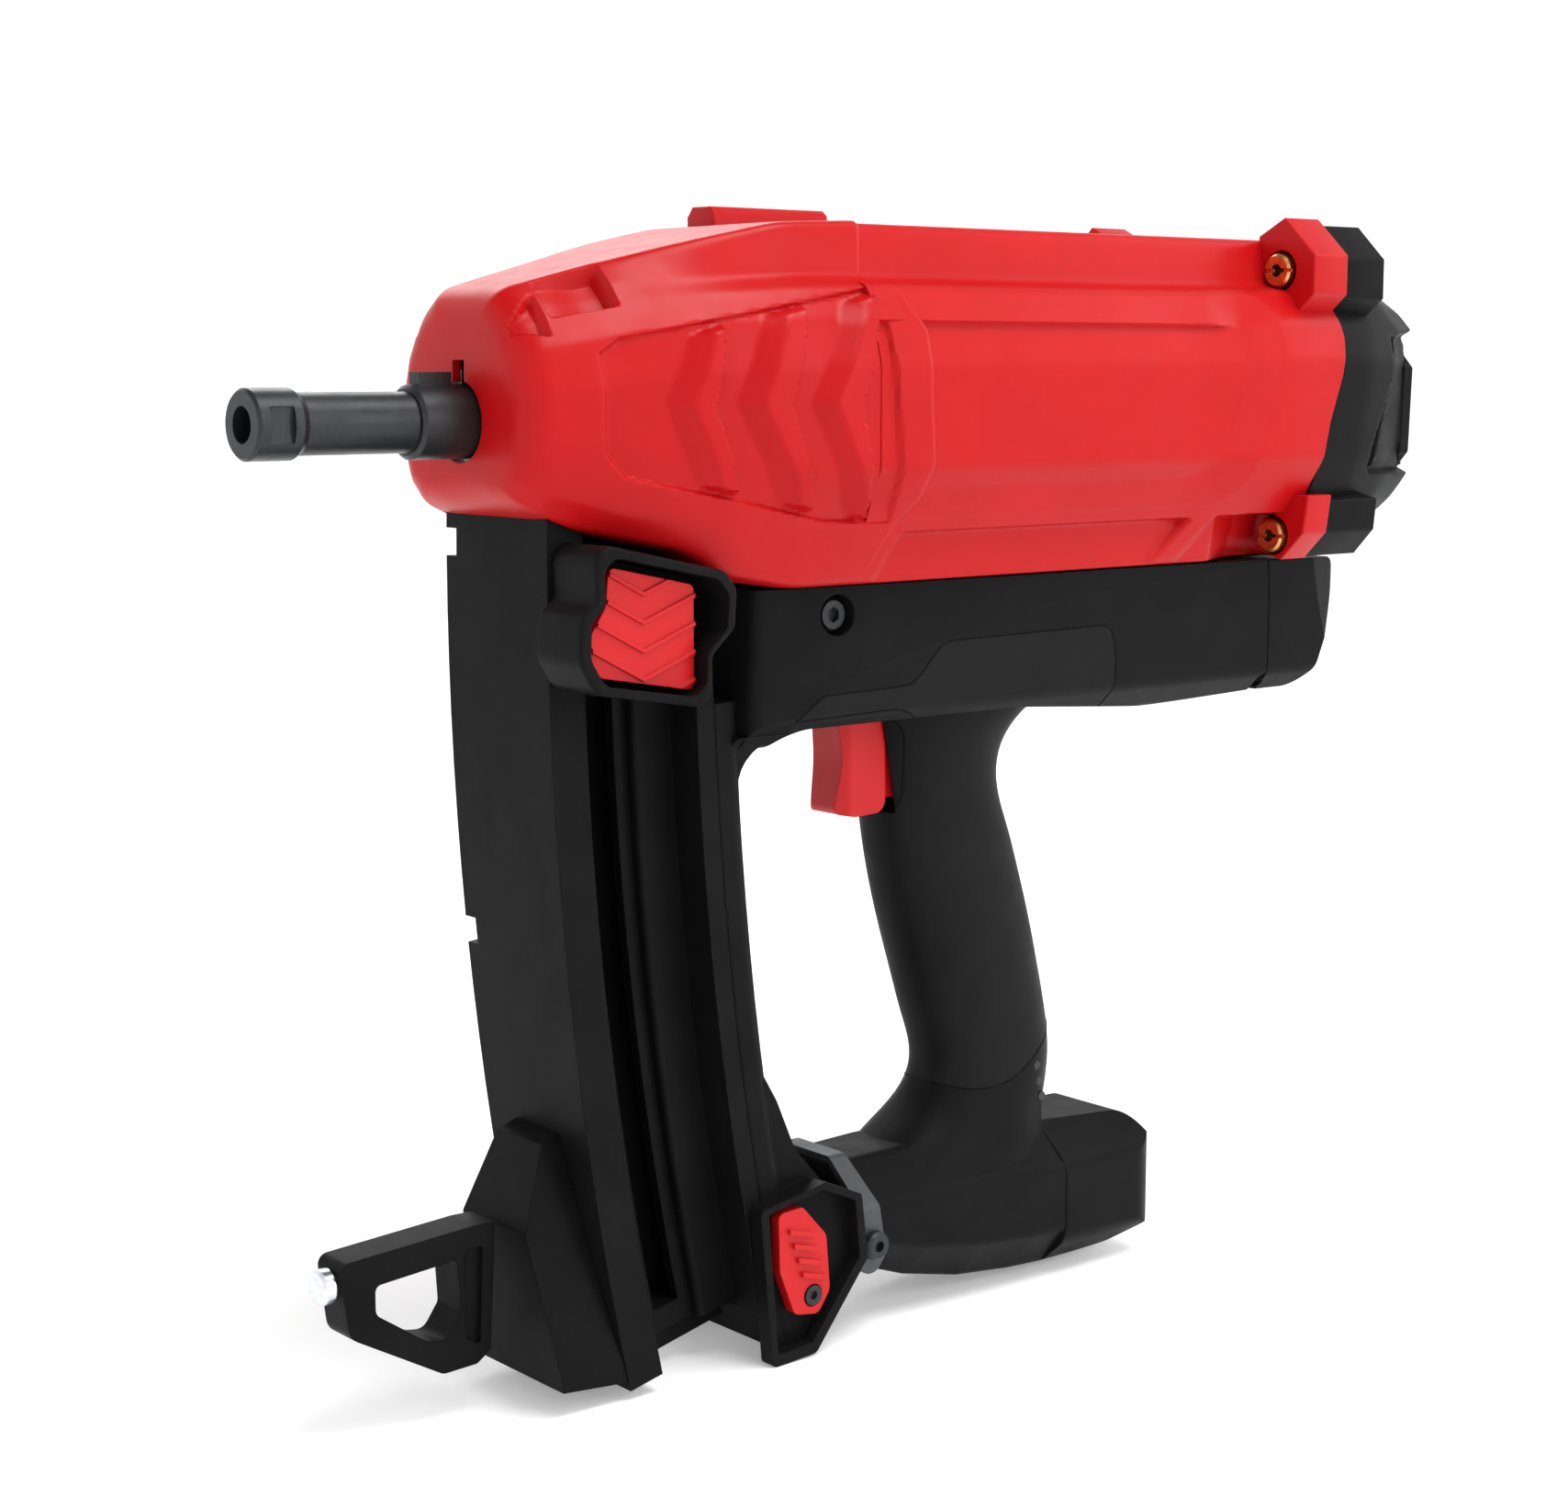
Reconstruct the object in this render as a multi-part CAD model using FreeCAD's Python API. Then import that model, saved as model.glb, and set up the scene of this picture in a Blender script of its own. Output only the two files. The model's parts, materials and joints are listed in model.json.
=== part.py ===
import FreeCAD, Part
import math
import os

V = FreeCAD.Vector
os.makedirs("parts", exist_ok=True)

# Gas-actuated concrete nailer. Millimetres. The origin is the centre of the muzzle's front face,
# X runs back along the barrel, Z is up, and the tool's left side is at negative Y.

# Driving dimensions: barrel line
PROBE_TRAVEL = 15.0
BORE_R = 4.8
TUBE_BORE_R = 5.1
TIP_R = 9.3
TIP_END = 15.0
TUBE_R = 8.1
COLLAR_R = 9.9
COLLAR_FRONT = 48.0
PROBE_TAIL = 75.0
ROD_Y = 24.0
ROD_R = 2.0
DRIVER_R = 3.0
DRIVER_TIP = 128.0
STROKE = 110.0
LINER_R = 20.0
CYLINDER_R = 17.0
PISTON_FRONT = 262.0
PISTON_LENGTH = 12.0
SLEEVE_R = 38.0
SLEEVE_BORE = 36.3
SLEEVE_FRONT = 255.0
SLEEVE_REAR = 340.0
HEAD_FRONT = 345.0
HEAD_FLANGE = 357.0
HEAD_R = 43.0
CAP_FRONT = 362.7

# Driving dimensions: red housings
NOSE_X = 64.7
SEAM_X = 180.0
WALL = 2.5
EAR_FRONT = 346.4
INSERTS = [(-41.2, 44.5), (41.2, 44.5), (-40.4, -39.2), (40.4, -39.2)]
INSERT_R = 5.3

# Driving dimensions: lower body, handle and foot
BODY_TOP = -47.2
BODY_BOTTOM = -88.0
DOOR_PIN = (356.5, -88.6)
FOOT_FRONT = 184.8
TRIGGER_TRAVEL = 6.0
LIGHTS = [(268.5 + 1.2 * k, -206 - 5.2 * k) for k in range(3)]
LIGHT_FACE = -15.2
BATTERY_FRONT = 272.0
TUBE_RISE = (343.5, 26.0)
BATTERY_REAR = 316.0
CLAMP_X = 189.5
CLAMP_Z = -246.0

# Driving dimensions: curved magazine, which follows an arc about one centre
ARC_X = 1100.0
ARC_Z = -45.0
ARC_R = 1024.3
MAGAZINE_HALF = 24.5
MAGAZINE_TOP = -1.2
MAGAZINE_BOTTOM = 12.75
NAIL_PITCH = 8.0
NOTCH = 0.43


def export(name, shape):
    """Write one named sub-part."""
    shape.exportStep("parts/" + name + ".step")


def box(x0, x1, y0, y1, z0, z1):
    return Part.makeBox(x1 - x0, y1 - y0, z1 - z0, V(x0, y0, z0))


def rod(x0, x1, radius, y=0.0, z=0.0):
    """Round bar along X."""
    return Part.makeCylinder(radius, x1 - x0, V(x0, y, z), V(1, 0, 0))


def ring(x0, x1, outer, inner, y=0.0, z=0.0):
    """Round tube along X."""
    return rod(x0, x1, outer, y, z).cut(rod(x0, x1, inner, y, z))


def cross_pin(x, z, radius, y0, y1):
    """Round bar along Y."""
    return Part.makeCylinder(radius, y1 - y0, V(x, y0, z), V(0, 1, 0))


def rounded_wire(corners, place):
    """Closed wire through (a, b, radius) corners, each corner rounded; place maps (a, b) into space."""
    count = len(corners)
    stops = []
    for i, (a, b, radius) in enumerate(corners):
        here = V(a, b, 0)
        back = V(*corners[i - 1][:2], 0) - here
        ahead = V(*corners[(i + 1) % count][:2], 0) - here
        back.normalize()
        ahead.normalize()
        half = back.getAngle(ahead) / 2
        if radius == 0 or half > math.radians(89):
            stops.append((here, here, here))
            continue
        reach = radius / math.tan(half)
        middle = back + ahead
        middle.normalize()
        apex = here + middle * (radius / math.sin(half) - radius)
        stops.append((here + back * reach, apex, here + ahead * reach))
    edges = []
    for i, (enter, apex, leave) in enumerate(stops):
        if (leave - enter).Length > 1e-6:
            arc = Part.Arc(place(enter.x, enter.y), place(apex.x, apex.y), place(leave.x, leave.y))
            edges.append(arc.toShape())
        following = stops[(i + 1) % count][0]
        if (following - leave).Length > 1e-6:
            edges.append(Part.makeLine(place(leave.x, leave.y), place(following.x, following.y)))
    return Part.Wire(edges)


def side_plate(corners, y0, y1):
    """Plate with a side outline of (x, z) or (x, z, radius) corners."""
    full = [c if len(c) == 3 else (c[0], c[1], 0) for c in corners]
    wire = rounded_wire(full, lambda a, b: V(a, y0, b))
    return Part.Face(wire).extrude(V(0, y1 - y0, 0))


def front_plate(corners, x0, x1):
    """Plate with a front outline of (y, z) or (y, z, radius) corners."""
    full = [c if len(c) == 3 else (c[0], c[1], 0) for c in corners]
    wire = rounded_wire(full, lambda a, b: V(x0, a, b))
    return Part.Face(wire).extrude(V(x1 - x0, 0, 0))


def top_plate(corners, z0, z1):
    """Plate with a plan outline of (x, y) or (x, y, radius) corners."""
    full = [c if len(c) == 3 else (c[0], c[1], 0) for c in corners]
    wire = rounded_wire(full, lambda a, b: V(a, b, z0))
    return Part.Face(wire).extrude(V(0, 0, z1 - z0))


def mirrored(points):
    """Right-hand half of an outline, given as (y, z, radius), made whole by its mirror image."""
    return points + [(-p[0],) + tuple(p[1:]) for p in reversed(points)]


def arc_point(depth, degrees):
    """Side-view point at a depth behind the magazine's front face and an angle down its arc."""
    radius = ARC_R - depth
    turn = math.radians(degrees)
    return (ARC_X - radius * math.cos(turn), ARC_Z - radius * math.sin(turn))


def sector(section, top, bottom):
    """Sweep a (depth, y) or (depth, y, radius) section along the magazine's arc."""
    full = [c if len(c) == 3 else (c[0], c[1], 0) for c in section]
    wire = rounded_wire(full, lambda a, b: V(ARC_X - ARC_R + a, b, ARC_Z))
    face = Part.Face(wire)
    centre = V(ARC_X, 0, ARC_Z)
    face.rotate(centre, V(0, 1, 0), -top)
    return face.revolve(centre, V(0, -1, 0), bottom - top)


def arc_block(d0, d1, y0, y1, top, bottom):
    """Curved block of the magazine: depths d0 to d1, y0 to y1, angles top to bottom."""
    return sector([(d0, y0), (d1, y0), (d1, y1), (d0, y1)], top, bottom)


def joined(shapes):
    """Fuse solids into one."""
    shapes = list(shapes)
    return shapes[0].multiFuse(shapes[1:]).removeSplitter()


def helix_spring(x0, x1, coil_r, wire_r, turns, y=0.0, z=0.0):
    """Compression spring along X."""
    length = x1 - x0 - 2 * wire_r
    helix = Part.makeHelix(length / turns, length, coil_r)
    profile = Part.Wire(Part.makeCircle(wire_r, V(coil_r, 0, 0), V(0, 1, 0)))
    spring = Part.Wire(helix).makePipeShell([profile], True, True)
    spring.rotate(V(0, 0, 0), V(0, 1, 0), 90)
    spring.translate(V(x0 + wire_r, y, z))
    return spring


def hex_socket(x, y, z, axis, across, depth):
    """Hexagonal key socket, opening at the point and running in along the axis."""
    direction = V(*axis)
    side = V(0, 0, 1) if abs(direction.z) < 0.5 else V(1, 0, 0)
    other = direction.cross(side)
    radius = across / math.sqrt(3)
    points = []
    for k in range(7):
        turn = math.radians(60 * k)
        spoke = side * (radius * math.cos(turn)) + other * (radius * math.sin(turn))
        points.append(V(x, y, z) + spoke)
    return Part.Face(Part.makePolygon(points)).extrude(direction * depth)


# ---------------------------------------------------------------- barrel and nose probe
def muzzle_tip():
    tip = ring(0, TIP_END, TIP_R, BORE_R)
    tip = tip.cut(rod(TIP_END - 8, TIP_END, 6.5))
    rim = [e for e in tip.Edges if e.BoundBox.XMax < 0.01 and e.BoundBox.YMax > TIP_R - 0.1]
    tip = tip.makeChamfer(0.8, rim)
    for side in (-1, 1):
        window = box(3.6, 10.5, side * 8.6 - 1.1, side * 8.6 + 1.1, -4.6, 4.6)
        tip = tip.cut(window)
    cone = Part.makeCone(TIP_R, TUBE_R, 2, V(TIP_END - 2, 0, 0), V(1, 0, 0))
    return tip.cut(ring(TIP_END - 2, TIP_END, TIP_R + 1, TUBE_R)).fuse(cone.cut(rod(0, 20, 6.5)))


def barrel_tube():
    tube = rod(TIP_END - 8, COLLAR_FRONT, 6.5)
    tube = tube.fuse(rod(TIP_END, COLLAR_FRONT, TUBE_R)).fuse(rod(COLLAR_FRONT, PROBE_TAIL, 7.0))
    return tube.cut(rod(0, PROBE_TAIL + 1, TUBE_BORE_R)).removeSplitter()


def probe_collar():
    collar = rod(COLLAR_FRONT, PROBE_TAIL, COLLAR_R)
    rim = [e for e in collar.Edges if e.BoundBox.XMax < COLLAR_FRONT + 0.01]
    collar = collar.makeChamfer(1.0, rim)
    lug = box(COLLAR_FRONT + 3, COLLAR_FRONT + 13, -2.4, 2.4, 8, 13.2)
    return collar.fuse(lug).cut(rod(COLLAR_FRONT - 1, PROBE_TAIL + 1, 7.0)).removeSplitter()


def probe_linkage():
    """Welded yoke and two rods that carry the chamber sleeve with the probe."""
    plate = front_plate(mirrored([(9, -9, 4), (27, -5, 3), (27, 5, 3), (9, 9, 4)]),
                        PROBE_TAIL, PROBE_TAIL + 4)
    frame = plate.cut(rod(PROBE_TAIL - 1, PROBE_TAIL + 5, 5.2))
    for y in (-ROD_Y, ROD_Y):
        frame = frame.fuse(rod(PROBE_TAIL + 4, SLEEVE_FRONT, ROD_R, y))
    return frame.removeSplitter()


def probe_springs():
    return Part.makeCompound([helix_spring(PROBE_TAIL + 4.2, 135.8, 3.1, 0.55, 9, y)
                              for y in (-ROD_Y, ROD_Y)])


def nose_bushing():
    bush = ring(67.4, 73.4, 14.0, COLLAR_R + 0.05)
    return bush.cut(box(66, 75, -2.8, 2.8, 5, 20))


def nail_guide():
    block = box(96, 136, -9, 9, -9.5, 9)
    block = block.cut(rod(95, 137, DRIVER_R + 0.3))
    return block.cut(box(95, 126, -DRIVER_R - 0.3, DRIVER_R + 0.3, -10, 0))


def cylinder_block():
    """Aluminium casting that joins the nail guide, the bumper and the cylinder."""
    disc = rod(136, 146, 21.5)
    lugs = box(136, 141, -29, 29, -7, 7)
    block = disc.fuse(lugs).fuse(ring(146, 158, 22.0, LINER_R)).removeSplitter()
    for y in (-ROD_Y, ROD_Y):
        block = block.cut(rod(135, 160, ROD_R + 0.3, y))
    return block.cut(rod(135, 147, DRIVER_R + 0.3)).cut(rod(142, 147, 16.5))


def bumper():
    return ring(142.0, 151.6, 16.4, DRIVER_R + 0.8)


def cylinder_liner():
    liner = ring(146, 280, LINER_R, CYLINDER_R)
    for k in range(8):
        port = Part.makeCylinder(2.6, 30, V(176, 0, 0), V(0, 0, 1))
        port.rotate(V(0, 0, 0), V(1, 0, 0), 22.5 + 45 * k)
        liner = liner.cut(port)
    return liner


def piston():
    body = rod(PISTON_FRONT, PISTON_FRONT + PISTON_LENGTH, CYLINDER_R - 0.3)
    for x in (PISTON_FRONT + 2.5, PISTON_FRONT + 7.5):
        body = body.cut(ring(x, x + 2, CYLINDER_R + 1, 14.6))
    return body


def piston_rings():
    return Part.makeCompound([ring(x, x + 2, CYLINDER_R - 0.05, 14.6)
                              for x in (PISTON_FRONT + 2.5, PISTON_FRONT + 7.5)])


def driver_blade():
    blade = rod(DRIVER_TIP, PISTON_FRONT, DRIVER_R)
    return blade.makeChamfer(0.4, [e for e in blade.Edges if e.BoundBox.XMax < DRIVER_TIP + 0.1])


# ---------------------------------------------------------------- combustion chamber
def chamber_sleeve():
    sleeve = ring(SLEEVE_FRONT, SLEEVE_REAR, SLEEVE_R, SLEEVE_BORE)
    return sleeve.fuse(ring(SLEEVE_FRONT, SLEEVE_FRONT + 4, SLEEVE_R, LINER_R + 0.6)).removeSplitter()


def cylinder_head():
    head = rod(HEAD_FRONT, HEAD_FLANGE, 35.8).fuse(rod(HEAD_FLANGE, HEAD_FLANGE + 5, HEAD_R))
    head = head.cut(ring(348, 351, 37, 34.4))
    head = head.cut(rod(HEAD_FRONT - 1, 380, 12.0))
    head = head.cut(rod(HEAD_FRONT - 1, 380, 5.0, 0, 24))
    return head.removeSplitter()


def chamber_seals():
    """Rings that seal the sleeve on the head and on the cylinder."""
    return Part.makeCompound([ring(348, 351, 36.2, 34.4), ring(276, 278, LINER_R + 1.6, LINER_R)])


def fan_motor():
    return rod(341, 378, 12.0).cut(rod(340, 366, 1.55))


def fan_shaft():
    return rod(318, 365.5, 1.5)


def fan():
    hub = rod(320, 330, 6).cut(rod(319, 331, 1.5))
    blades = [hub]
    for k in range(5):
        blade = Part.makeBox(1.4, 24, 11, V(-0.7, 5, -5.5))
        blade.rotate(V(0, 0, 0), V(0, 1, 0), 38)
        blade.translate(V(325, 0, 0))
        blade.rotate(V(325, 0, 0), V(1, 0, 0), 72 * k)
        blades.append(blade)
    wheel = joined(blades)
    return wheel.common(rod(319, 331, 29)).cut(rod(315, 335, 1.5))


def spark_plug():
    body = rod(336, HEAD_FLANGE + 5, 5.0, 0, 24).fuse(rod(HEAD_FLANGE + 5, 371, 7.0, 0, 24))
    return body.fuse(rod(371, 384, 3.6, 0, 24)).fuse(rod(331, 336, 1.2, 0, 24)).removeSplitter()


def ignition_coil():
    coil = box(384, 402, -9, 9, 15, 34)
    return coil.makeFillet(1.5, coil.Edges)


# ---------------------------------------------------------------- red housings
TOP_BLOCK = [(17, 53.2), (18.5, 59.5), (20.5, 61.0), (28.5, 61.0), (31.0, 58.0), (31.0, 53.2)]
COWL_SECTIONS = [
    # x, half width, bottom, top
    (NOSE_X, 26.5, -19.5, 27.0),
    (NOSE_X + 3, 29.5, -21.0, 31.5),
    (74.0, 32.0, -23.0, 36.0),
    (95.0, 37.5, -29.5, 42.0),
    (126.0, 45.0, -38.0, 49.2),
    (150.0, 50.0, -44.5, 54.0),
    (175.0, 52.5, -47.0, 55.5),
    (SEAM_X, 52.8, -47.0, 55.5),
]


def cowl_wire(x, half, bottom, top, inset):
    """Eight-sided section of the cowl, rounded at its corners."""
    half -= inset
    bottom += inset
    top -= inset
    crown = half * 0.62
    shoulder = top - half * 0.36
    hip = bottom + half * 0.42
    corners = mirrored([(half * 0.66, bottom, 4), (half, hip, 7), (half, shoulder, 7), (crown, top, 6)])
    return rounded_wire(corners, lambda a, b: V(x, a, b))


def cowl_solid(inset):
    sections = [cowl_wire(x, w, b, t, inset) for x, w, b, t in COWL_SECTIONS]
    return Part.makeLoft(sections, True, True)


def front_cowl():
    cowl = cowl_solid(0).cut(cowl_solid(WALL).common(box(67.3, 200, -60, 60, -60, 60)))
    cowl = cowl.fuse(front_plate(TOP_BLOCK, 165, SEAM_X))
    cowl = cowl.cut(rod(60, 70, COLLAR_R + 1.1)).cut(box(60, 70, -3.2, 3.2, 5, 16.3))
    cowl = cowl.cut(box(75.2, 150, -MAGAZINE_HALF - 0.4, MAGAZINE_HALF + 0.4, -60, -19))
    cowl = cowl.cut(side_plate(shrunk(FOLLOWER_OUTLINE, FOLLOWER_CENTRE, 1.05, 1.05), -46, -24))
    return cowl.cut(box(140, 200, -30, 30, -60, -40))


def rear_section(inset):
    """Front outline of the rear housing: spine box on top of a barrel-like body."""
    i = inset
    return mirrored([(30, -47 + i, 4), (47 - i, -33 + i, 8), (53 - i, -18, 8), (53 - i, 25, 8),
                     (44 - i, 37 - i, 3), (35.5 - i, 39 - i, 0), (31.7 - i, 54.5 - i, 2.5)])


def rear_housing():
    shell = front_plate(rear_section(0), SEAM_X, CAP_FRONT)
    shell = shell.cut(front_plate(rear_section(WALL), SEAM_X - 1, CAP_FRONT + 1))
    for y, z in INSERTS:
        side = 1 if y > 0 else -1
        up = 1 if z > 0 else -1
        if up > 0:
            ear = [(31.5 * side, 39), (31.5 * side, 55.5), (42.4 * side, 61.3), (55 * side, 49.3),
                   (55 * side, 36), (47 * side, 30)]
        else:
            ear = [(33 * side, -44), (44 * side, -47), (53 * side, -38), (54 * side, -26), (45 * side, -26)]
        shell = shell.fuse(front_plate(ear, EAR_FRONT, CAP_FRONT))
    shell = shell.fuse(front_plate(TOP_BLOCK, SEAM_X, 209)).fuse(box(293, 306, 22, 30, 53.2, 57))
    for y, z in INSERTS:
        shell = shell.cut(rod(EAR_FRONT - 3, CAP_FRONT + 1, INSERT_R, y, z))
    shell = shell.cut(rod(HEAD_FRONT - 2, CAP_FRONT + 1, HEAD_R + 0.05))
    shell = shell.cut(Part.makeCylinder(2.2, 6, V(*TUBE_RISE, -49), V(0, 0, 1)))
    for x in (205, 236, 267, 298):
        shell = shell.cut(Part.makeCylinder(11, 3, V(x, 0, 53.3), V(0, 0, 1)))
    return shell.removeSplitter()


def threaded_inserts():
    """Four slotted brass barrel nuts."""
    inserts = []
    for y, z in INSERTS:
        nut = rod(EAR_FRONT - 2.2, CAP_FRONT, INSERT_R, y, z)
        rim = [e for e in nut.Edges if e.BoundBox.XMax < EAR_FRONT - 2]
        nut = nut.makeChamfer(0.7, rim).cut(rod(EAR_FRONT - 3, CAP_FRONT + 1, 2.0, y, z))
        slot = box(EAR_FRONT - 3, EAR_FRONT - 0.7, y - 6, y + 6, z - 0.6, z + 0.6)
        inserts.append(nut.cut(slot))
    return Part.makeCompound(inserts)


def cap_bolts():
    bolts = []
    for y, z in INSERTS:
        bolt = rod(EAR_FRONT + 3, 378, 2.0, y, z).fuse(rod(378, 383.5, 4.2, y, z)).removeSplitter()
        bolts.append(bolt.cut(hex_socket(383.5, y, z, (-1, 0, 0), 4, 2.5)))
    return Part.makeCompound(bolts)


# ---------------------------------------------------------------- rear cap
def cap_blank(inset):
    """Rear cap body: side outline crossed with the front and plan outlines."""
    i = inset
    side = side_plate([(CAP_FRONT, -47 + i), (388 - i, -47 + i, 3), (398 - i, -43 + i, 3),
                       (401 - i, -36.5 + i, 2),
                       (411 - i, -35.5 + i, 2), (421.5 - i, -21, 3), (423.5 - i, 27 - i, 3),
                       (413 - i, 43 - i, 4), (CAP_FRONT, 47 - i)], -60, 60)
    front = front_plate(mirrored([(30, -47 + i, 6), (46 - i, -40 + i, 6), (52 - i, -22, 12),
                                  (52 - i, 26, 14), (40 - i, 44 - i, 8), (30 - i, 47 - i, 6)]),
                        CAP_FRONT, 430)
    plan = top_plate([(CAP_FRONT, -52 + i), (378, -52 + i, 20), (402, -44 + i, 16), (426 - i, -30 + i, 8),
                      (426 - i, 30 - i, 8), (402, 44 - i, 16), (378, 52 - i, 20),
                      (CAP_FRONT, 52 - i)], -60, 60)
    return side.common(front).common(plan)


def rear_cap():
    cap = cap_blank(0).cut(cap_blank(WALL).common(box(CAP_FRONT, 430, -60, 60, -60, 60)))
    for y, z in INSERTS:
        side = 1 if y > 0 else -1
        if z > 0:
            ear = [(31 * side, 36), (31 * side, 55), (42.2 * side, 59.5), (53.5 * side, 48.5),
                   (53.5 * side, 36), (46 * side, 30)]
        else:
            ear = [(33 * side, -42), (44 * side, -46.5), (52 * side, -38), (53 * side, -28), (45 * side, -26)]
        cap = cap.fuse(front_plate(ear, CAP_FRONT, 383))
    cap = cap.cut(rod(CAP_FRONT - 1, 378.2, 30))
    for y, z in INSERTS:
        cap = cap.cut(rod(CAP_FRONT - 1, 377.9, 2.15, y, z)).cut(rod(377.9, 384, 4.4, y, z))
    cap = cap.cut(cover_blank(0.1).common(box(404, 450, -60, 60, -60, 60)))
    return cap.removeSplitter()


def cover_blank(grown):
    """Outer form of the filter cover, which stands out of the cap's rear end."""
    g = grown
    side = side_plate([(404, -27 - g), (416 + g, -27 - g, 4), (432 + g, -8, 30), (434 + g, 12, 20),
                       (430 + g, 25 + g, 4), (404, 25 + g)], -60, 60)
    front = front_plate(mirrored([(22, -27 - g, 8), (34 + g, -14, 12), (34 + g, 14, 12), (24, 25 + g, 8)]),
                        404, 440)
    plan = top_plate([(404, -35 - g), (417, -35 - g, 6), (427, -27, 6), (434 + g, -12, 8), (434 + g, 12, 8),
                      (427, 27, 6), (417, 35 + g, 6), (404, 35 + g)], -40, 40)
    return side.common(front).common(plan)


def filter_cover():
    """Removable cover of the intake filter with a ribbed grip on each side."""
    cover = cover_blank(0).cut(cover_blank(-WALL).common(box(403, 431, -60, 60, -60, 60)))
    ribs = cover_blank(0.8)
    for k in range(7):
        z = -19 + 5.8 * k
        for y0, y1 in ((-36, -22), (22, 36)):
            cover = cover.fuse(ribs.common(box(424.2, 440, y0, y1, z, z + 3.4)))
    return cover.removeSplitter()


def air_filter():
    return rod(405, 414, 20)


# ---------------------------------------------------------------- lower body and handle
def handle_section(z, centre, half_length, half_width):
    """Oval section of the grip at height z."""
    curve = Part.BSplineCurve()
    points = []
    for k in range(16):
        turn = 2 * math.pi * k / 16
        reach_x = math.copysign(abs(math.cos(turn)) ** 0.85, math.cos(turn))
        reach_y = math.copysign(abs(math.sin(turn)) ** 0.85, math.sin(turn))
        points.append(V(centre + half_length * reach_x, half_width * reach_y, z))
    curve.interpolate(points, PeriodicFlag=True)
    return Part.Wire(curve.toShape())


HANDLE = [
    # z, centre x, half length, half width
    (-80.0, 245.0, 42.0, 22.0),
    (-90.0, 238.3, 32.4, 20.5),
    (-100.0, 233.8, 25.8, 18.6),
    (-112.0, 233.6, 23.6, 17.3),
    (-129.0, 237.6, 25.2, 17.0),
    (-142.0, 241.2, 26.2, 17.0),
    (-157.0, 245.6, 26.4, 17.2),
    (-173.0, 250.3, 26.0, 17.0),
    (-188.0, 254.6, 25.4, 16.6),
    (-204.0, 257.2, 24.6, 16.6),
    (-214.0, 253.5, 26.8, 17.5),
    (-224.0, 246.0, 32.5, 20.0),
    (-234.0, 239.0, 38.0, 23.0),
]


def handle_solid(inset):
    """Grip, lofted through its sections, with the skin moved in by inset."""
    wires = [handle_section(z, c, a - inset, b - inset) for z, c, a, b in HANDLE]
    return Part.makeLoft(wires, True, False)


def body_solid(inset):
    """Lower body: side outline crossed with the front outline."""
    i = inset
    side = side_plate([(141 + i, BODY_TOP - i), (141 + i, BODY_BOTTOM - 25), (143, BODY_BOTTOM - 25),
                       (147, BODY_BOTTOM + i, 20), (245, BODY_BOTTOM + i, 30), (306, -93 + i, 25),
                       (353.4, -91 + i),
                       (353.4, -86.5), (355.9, -85), (349.6, BODY_TOP - i)], -60, 60)
    front = front_plate(mirrored([(23 - i, -93 + i, 5), (31 - i, -85 + i, 6), (34.5 - i, -62, 10),
                                  (36 - i, BODY_TOP - i, 0)]), 130, 360)
    plan = top_plate([(141 + i, -30 + i, 4), (180, -33 + i, 20), (235, -35 + i, 20), (360, -36 + i),
                      (360, 36 - i), (235, 35 - i, 20), (180, 33 - i, 20), (141 + i, 30 - i, 4)], -120, -40)
    return side.common(front).common(plan)


def corner_section(z, reach, half):
    """Plan outline of the arm's inner corner: flat sides that slope in towards the rear edge."""
    side = [(138, half), (143 + reach, half), (152 + reach, 8)]
    outline = side + [(x, -y) for x, y in reversed(side)]
    points = [V(x, y, z) for x, y in outline]
    return Part.makePolygon(points + points[:1])


def arm_corner():
    """Hollow-curved corner that spreads the top of the arm into the underside of the body."""
    low, radius = -104.0, 15.5
    sections = [corner_section(-128, 0, 19.5)]
    for k in range(9):
        turn = math.radians(10 * k)
        reach = radius * (1 - math.cos(turn))
        sections.append(corner_section(low + radius * math.sin(turn), reach, 20.5 + 0.55 * reach))
    return Part.makeLoft(sections, True, True)


def arm_solid():
    """Front arm that carries the magazine: flat in front, rounded behind."""
    arm = sector([(55.3, -24.2, 1), (63, -24.2, 5), (75, -8, 8), (75, 8, 8), (63, 24.2, 5), (55.3, 24.2, 1)],
                 2.0, 11.0)
    gusset = side_plate([(138, -176), (143.5, -176), (156, -197, 20), (163, -213, 12), (172, -223),
                         (150, -232), (140, -232)], -22, 22)
    return arm.fuse(gusset).fuse(arm_corner())


LATCH_OUTLINE = [(143.5, -226, 2), (168, -222, 2), (182, -228, 2), (184.5, -248, 3), (164.5, -273, 3),
                 (148, -274, 2)]


LATCH_RECESS = [(146.5, -227.6, 1), (167, -223.9, 1), (179.5, -229.5, 1), (181.3, -247, 2), (163, -269.5, 2),
                (150, -270.5, 1)]
LEVER_BACK = -24.9


def foot_section(x, half, bottom, top, corner):
    corners = mirrored([(half * 0.55, bottom, corner), (half, bottom + (top - bottom) * 0.3, corner),
                        (half, top - 12, corner), (half - 13.5, top, corner)])
    return rounded_wire(corners, lambda a, b: V(x, a, b))


FOOT = [
    # x, half width, bottom, top, corner radius
    (FOOT_FRONT, 23.8, -252.0, -224.0, 3.5),
    (196.0, 24.0, -257.5, -223.8, 4.0),
    (214.0, 24.6, -264.0, -223.5, 4.5),
    (236.0, 25.2, -269.0, -224.0, 5.0),
    (258.0, 25.5, -271.3, -225.0, 5.0),
    (BATTERY_FRONT - 0.3, 25.5, -272.0, -225.5, 5.0),
]


def foot_solid(inset):
    sections = []
    for x, half, bottom, top, corner in FOOT:
        sections.append(foot_section(x, half - inset, bottom + inset, top - inset, corner))
    return Part.makeLoft(sections, True, True)


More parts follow.
